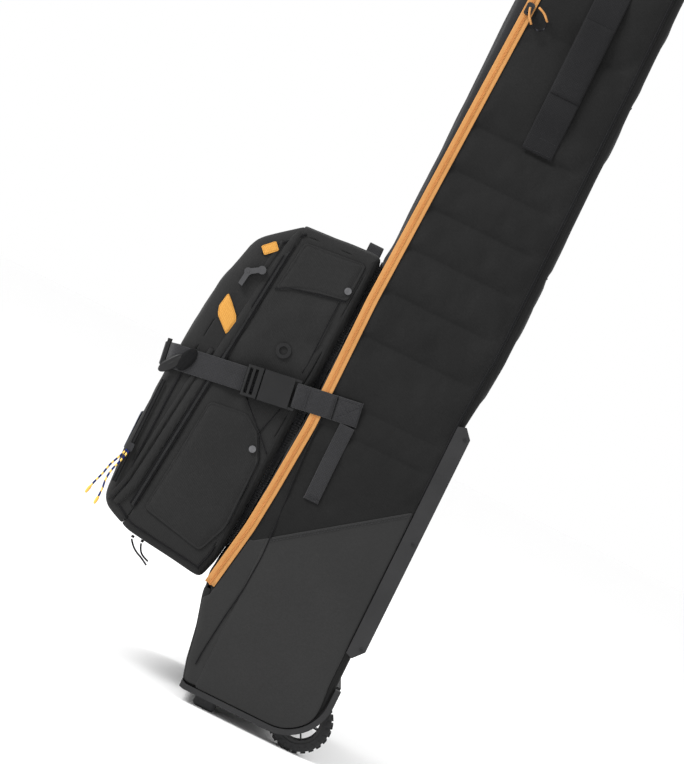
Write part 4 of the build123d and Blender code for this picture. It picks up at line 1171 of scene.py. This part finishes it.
def build_loops():
    """The top grip, the pack's haul loop, the straps inside the bag, and the tabs of the pack's low cords."""
    top_z = LENGTH + 2.0
    line = [(-105, top_z), (-82, top_z), (-62, top_z + 34.0), (62, top_z + 34.0), (82, top_z), (105, top_z)]
    line = [at(-10, y, z) for y, z in line]
    ribbon("top_grip", eased(line, 0.008, 0.42), (1, 0, 0), 0.038, 0.0034, "bag", stands_for=["top_handle"])
    grip = divided([at(-10, -44, top_z + 34.1), at(-10, 44, top_z + 34.1)], 0.006)
    wrap = ribbon("top_grip_wrap", grip, (1, 0, 0), 0.0375, 0.0042, "bag", "mesh", slot_name="webbing")

    line = [(-59, 738.8), (-42, 738.8), (-28, 758.5), (28, 758.5), (42, 738.8), (59, 738.8)]
    line = [at(-143, y, z) for y, z in line]
    ribbon("pack_haul_band", eased(line, 0.006, 0.42), (1, 0, 0), 0.024, 0.0024, "pack",
           stands_for=["pack_haul_loop"])

    for index, z in enumerate((720, 1280)):
        line = divided([at(97.4, -164, z), at(97.4, 164, z)], 0.01)
        ribbon(f"inner_strap_{index + 1}", line, (0, 0, 1), 0.038, WEB_THICK, "bag",
               stands_for=["inner_straps"] if index == 0 else ())
    for index, x in enumerate((-279, -263)):
        line = [(-157, 189.6), (-159.4, 186.4), (-155, 186.2), (-154.6, 189.4)]
        line = rounded_route([at(x, y, z) for y, z in line], 0.4)
        ribbon(f"bottom_tab_{index + 1}", line, (1, 0, 0), 0.0048, 0.0009, "pack",
               stands_for=["bottom_tabs"] if index == 0 else ())


build_anchors()
build_pack_strap()
build_side_grips()
build_loops()


# ---------------------------------------------------------------- pads, patches and pockets
PACK_FACE = -(PACK_HALF + 0.1)  # y of the pack's near face


def build_back_foam():
    """The quilted mesh pad on the pack's back."""
    rows, columns = np.linspace(236, 732, 46), np.linspace(-1, 1, 27)
    front, rear = [], []
    for z in rows:
        back_line = -148 + (z - 215) * 24 / 522
        lid_line = interpolate(FRONT_X, z)
        ends = fade(min(z - 234, 734 - z), 0, 9)
        for share in columns:
            y = share * (152 + 4 * ends)
            thick = lid_line - 1.7 - back_line - 0.4 - 4.2 * (1 - share ** 2) - 0.8 * cos(2 * pi * z / 52) ** 8
            thick = max(1.0, thick * (0.35 + 0.65 * fade(1 - abs(share), 0, 0.07)) * (0.4 + 0.6 * ends))
            front.append(at(back_line + 0.4, y, z))
            rear.append(at(back_line + 0.4 + thick, y, z))
    count, total = len(columns), len(front)
    faces = grid_faces(len(rows), count)
    faces += [tuple(reversed(f)) for f in grid_faces(len(rows), count, first=total)]
    rim = list(range(count)) + [(r + 1) * count - 1 for r in range(1, len(rows))]
    rim += [len(rows) * count - 1 - k for k in range(1, count)]
    rim += [r * count for r in range(len(rows) - 2, 0, -1)]
    faces += [(a, b, b + total, a + total) for a, b in zip(rim, rim[1:] + rim[:1])]
    pad = solid("pack_back_foam", front + rear, faces, "pack", "mesh", stands_for=["pack_back_pad"])


def build_skid_foam():
    """The pad behind the skid plate, rounded off at its ends."""
    low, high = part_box("skid_pad")
    route = [Vector(((low.x + high.x) / 2, 0, z)) for z in np.linspace(low.z + 0.004, high.z - 0.004, 30)]
    foam = ribbon("skid_foam", route, (0, 1, 0), high.y - low.y - 0.004, (high.x - low.x) * 0.7, "bag",
                  "lining", stands_for=["skid_pad"], puff=lambda share: 0.0012 * min(1, 5 * sin(pi * share)))


def build_pockets():
    """The pack's side pocket and flap, and the sewn lines round them."""
    pocket = [(-282, 236), (-178, 214), (-158, 262), (-156, 372), (-178, 414), (-204, 434), (-264, 426)]
    applique("side_pocket", pocket, PACK_FACE, 1.3, "pack", "pack_fabric", ["pack_side_pocket"], crown=0.0,
             radius=9)
    flap = [(-241, 706), (-251, 621), (-222, 636), (-188, 645), (-144, 654), (-142, 716)]
    applique("side_flap", flap, PACK_FACE, 1.5, "pack", "pack_fabric", ["pack_side_flap"], crown=0.0, radius=5)
    seams = {
        "flap_edge": [(-252, 622.6), (-234.5, 632.6), (-195, 642), (-161, 648.5), (-145, 653)],
        "gusset_seam": [(-155, 648), (-155.5, 600), (-156, 540), (-158, 526)],
        "pocket_top_seam": [(-217, 455), (-174, 414), (-151, 391)],
        "pocket_back_seam": [(-163, 462), (-177, 414)],
        "pocket_side_seam": [(-176, 413), (-158, 380), (-157, 270)],
    }
    for name, route in seams.items():
        line = [at(p.x, PACK_FACE - 1.0, p.z) for p in side_line(route, 20, 6.0)]
        tube(f"{name}_line", line, 0.0009, "pack", "piping", sides=6)


def build_trim():
    """The plain patch on the pack's front panel, and the gold tab and loop on its near side."""
    patch = [(-137, 302), (-59, 302), (-59, 364), (-137, 364)]
    applique("front_label", patch, 0, 1.4, "pack_front", "patch_coated", ["pack_front_patch"], crown=0.5,
             radius=6, facing="front", offset=-352.6, edge_seam=2.4)
    cx, cz, turn = -285, 674.5, radians(44)
    tab = [(cx + a * cos(turn) - b * sin(turn), cz + a * sin(turn) + b * cos(turn))
           for a, b in ((-12, -7.5), (12, -7.5), (12, 7.5), (-12, 7.5))]
    applique("gold_end_tab", tab, PACK_FACE - 0.6, 1.4, "pack_front", "gold_webbing", ["gold_tab"], crown=0.3,
             radius=1.0, edge_seam=2.0)
    loop = [(-312, 586), (-302, 577), (-285, 559), (-282, 551), (-287, 527), (-312, 549), (-316, 562)]
    applique("gold_side_loop", loop, PACK_FACE - 0.4, 1.6, "pack_front", "gold_webbing", ["gold_loop"],
             crown=0.9, radius=1.0, edge_seam=1.6)


build_back_foam()
build_skid_foam()
build_pockets()
build_trim()
seam = [at(interpolate(ZIP_X, z), 187.4, z) for z in np.linspace(185, 1700, 90)]
tube("hinge_cord_piping", seam, 0.0021, "bag", "piping", stands_for=["hinge_piping"], sides=8,
     slot_name="shell_fabric")


# ---------------------------------------------------------------- cords
CORDS = {
    "pull_cord_upper": [(-344, -183.9, 305), (-349.5, -184.9, 290), (-357, -186.9, 274), (-360.5, -187.9, 256),
                        (-367, -187.9, 239), (-370.5, -186.9, 223)],
    "pull_cord_lower": [(-340.5, -187.4, 304), (-344, -189.9, 287), (-350.5, -191.4, 270), (-353, -191.9, 251),
                        (-350, -191.4, 232), (-351.5, -190.9, 214)],
    "bottom_cord_front": [(-279, -160, 184.2), (-273, -161, 176), (-263, -162.2, 169), (-251.5, -162.8, 164.5),
                          (-241, -163.4, 158)],
    "bottom_cord_back": [(-263, -158, 184.2), (-260, -158.4, 175), (-252.5, -158.8, 167.5),
                         (-241.5, -159, 164)],
    "zip_pull_loop": [(-93, -199.1, 1173), (-89.5, -200.2, 1161), (-80, -200.6, 1150), (-68, -200.2, 1145),
                      (-58.5, -199.4, 1152), (-60, -198.5, 1164), (-69, -198, 1174), (-81, -197.6, 1179)],
}
CORD_FACTS = {
    "pull_cord_upper": (86.6, 3.0, "pocket_pulls", "cord_navy", "knot"),
    "pull_cord_lower": (92.0, 3.0, "pocket_pulls", "cord_navy", "knot"),
    "bottom_cord_front": (47.0, 3.0, "bottom_pull_front", "cord_black", "bare"),
    "bottom_cord_back": (31.5, 3.0, "bottom_pull_back", "cord_black", "bare"),
    "zip_pull_loop": (87.6, 2.6, "main_pull", "cord_black", "bare"),
}


def build_cords():
    """Free cords: the real zipper pulls, each one smooth spline along its listed route."""
    for name, points in CORDS.items():
        length, diameter, body, material, far_end = CORD_FACTS[name]
        curve = bpy.data.curves.new(name + "_line", "CURVE")
        curve.dimensions = "3D"
        spline = curve.splines.new("NURBS")
        spline.points.add(len(points) - 1)
        for target, point in zip(spline.points, points):
            target.co = (*at(*point), 1)
        spline.order_u = 3
        spline.use_endpoint_u = True
        spline.resolution_u = 12
        curve.bevel_depth = diameter / 2 * MM
        curve.bevel_resolution = 4
        curve.use_fill_caps = True
        cord = bpy.data.objects.new(name + "_cord", curve)
        bpy.context.scene.collection.objects.link(cord)
        dress(cord, body, material, stands_for=[name])
        if name == "zip_pull_loop":
            for spots, label in ((points[:3], "start"), (points[-3:], "end")):
                sleeve = rounded_route([at(*p) for p in spots], 0.48)
                tube(f"{name}_{label}_sleeve", sleeve, 0.0018, body, "gold_tape", sides=10,
                                 slot_name="gold_webbing")
        if far_end == "knot":
            end, before = at(*points[-1]), at(*points[-2])
            along = (end - before).normalized()
            sizes = (1.6, 2.3, 2.6, 2.4, 2.5, 2.1, 1.5)
            route = [end + along * (k * 2.2 - 9.0) * MM for k in range(len(sizes))]
            tube(name + "_tip", route, lambda i: sizes[i] * MM, body, "gold_tip", sides=12,
                             slot_name="gold_webbing")
        tuple(at(*points[0]))


build_cords()


# ---------------------------------------------------------------- carried-over CAD pieces
CAD_LOOKS = {  # material and bevel in millimetres of each CAD piece that stays
    "base_tray": ("tray_plastic", 1.6),
    "wheel_housings": ("rim_plastic", 1.0),
    "front_feet": ("foot_rubber", 1.2),
    "rear_skid_plate": ("plate_plastic", 1.6),
    "rivets": ("rim_plastic", 0.5),
    "axles": ("steel", 0.4),
    "back_stays": ("aluminium", 0.6),
    "base_board": ("plate_plastic", 0.8),
    "zip_slider": ("dark_metal", 0.9),
    "pocket_zip_slider": ("dark_metal", 0.8),
    "pack_snaps": ("slider_metal", 0.7),
    "pack_eyelet": ("gloss_black", 0.8),
    "toggle_base": ("toggle_plastic", 0.6),
    "toggle_hook": ("toggle_plastic", 1.4),
    "strap_glide": ("hard_black", 1.0),
}
PAIRED_LOOKS = {
    "wheel_tyre": ("tyre_rubber", 0.6),
    "wheel_rim": ("rim_plastic", 0.6),
    "wheel_bearings": ("steel", 0.3),
    "buckle_socket": ("hard_black", 2.0),
    "buckle_tongue": ("hard_black", 1.6),
}
CAD_LOOKS |= {f"{label}_{name}": look for _, label in SIDES for name, look in PAIRED_LOOKS.items()}
for cad_name, (look, edge) in CAD_LOOKS.items():
    node = NODES[cad_name]
    node.data.materials.clear()
    node.data.materials.append(MATERIALS[look])
    bevel(node, edge * MM)


def build_lugs():
    """Rubber side lugs round each tyre's shoulders."""
    for near, label in SIDES:
        vertices, faces = [], []
        count = 24
        for side in (-1, 1):
            for k in range(count):
                turn = 2 * pi * (k + 0.5) / count
                radial, around = Vector((cos(turn), 0, sin(turn))), Vector((-sin(turn), 0, cos(turn)))
                first = len(vertices)
                for height, shrink in ((-0.8, 1.0), (0.5, 1.0), (0.95, 0.7)):
                    for a, b in ((-3.6, -1.7), (3.0, -2.2), (3.0, 2.2), (-3.6, 1.7)):
                        spot = radial * (43.2 + a * shrink) + around * (b * shrink)
                        y = near * WHEEL_Y + side * (13.85 + height)
                        vertices.append(at(WHEEL_X + spot.x, y, WHEEL_Z + spot.z))
                faces += grid_faces(3, 4, closed=True, first=first)
                faces += end_caps(3, 4, first)
        solid(f"{label}_tyre_lugs", vertices, faces, f"{label}_wheel", "tyre_rubber", smooth=False)


build_lugs()


# ---------------------------------------------------------------- camera, light and floor
def studio():
    """Pale floor, white surround and two large soft lights."""
    bpy.ops.mesh.primitive_plane_add(size=60, location=(0, 0, 0))
    floor = bpy.context.object
    floor.name = "floor"
    graph = Graph("floor")
    graph.shade(Base_Color=(0.99, 0.99, 0.99, 1), Roughness=0.95)
    floor.data.materials.append(graph.material)
    world = bpy.data.worlds.new("surround")
    bpy.context.scene.world = world
    world.use_nodes = True
    world.node_tree.nodes["Background"].inputs["Color"].default_value = (1, 1, 1, 1)
    world.node_tree.nodes["Background"].inputs["Strength"].default_value = 1.0
    for name, place, target, size, power in (
            ("key", (-2.6, -1.9, 3.0), (0, 0, 0.7), 1.4, 170), ("rim", (2.4, 1.0, 2.4), (0, 0, 0.9), 1.8, 30)):
        light = bpy.data.lights.new(name, "AREA")
        light.energy = power
        light.size = size
        lamp = bpy.data.objects.new(name, light)
        lamp.location = place
        lamp.rotation_euler = (Vector(target) - Vector(place)).to_track_quat("-Z", "Y").to_euler()
        bpy.context.scene.collection.objects.link(lamp)


def build_camera():
    """The product view: square on to the near side, leaning with the bag."""
    lean = radians(26.3)
    up = Vector((-sin(lean), 0, cos(lean)))
    right = Vector((cos(lean), 0, sin(lean)))
    data = bpy.data.cameras.new("camera")
    camera = bpy.data.objects.new("camera", data)
    data.sensor_fit = "VERTICAL"
    data.sensor_height = 36
    data.lens = 108.9
    data.clip_end = 100
    place = at(-97.2, -HALF - 3500, 540.6)
    camera.matrix_world = Matrix((
        (right.x, up.x, 0, place.x), (right.y, up.y, -1, place.y), (right.z, up.z, 0, place.z), (0, 0, 0, 1)))
    bpy.context.scene.collection.objects.link(camera)
    bpy.context.scene.camera = camera
    bpy.context.scene.view_settings.view_transform = "Standard"


studio()
build_camera()

for cad_name, cad_node in NODES.items():
    if not cad_node.hide_render and not cad_node.data.materials:
        cad_node.data.materials.append(MATERIALS["hard_black"])
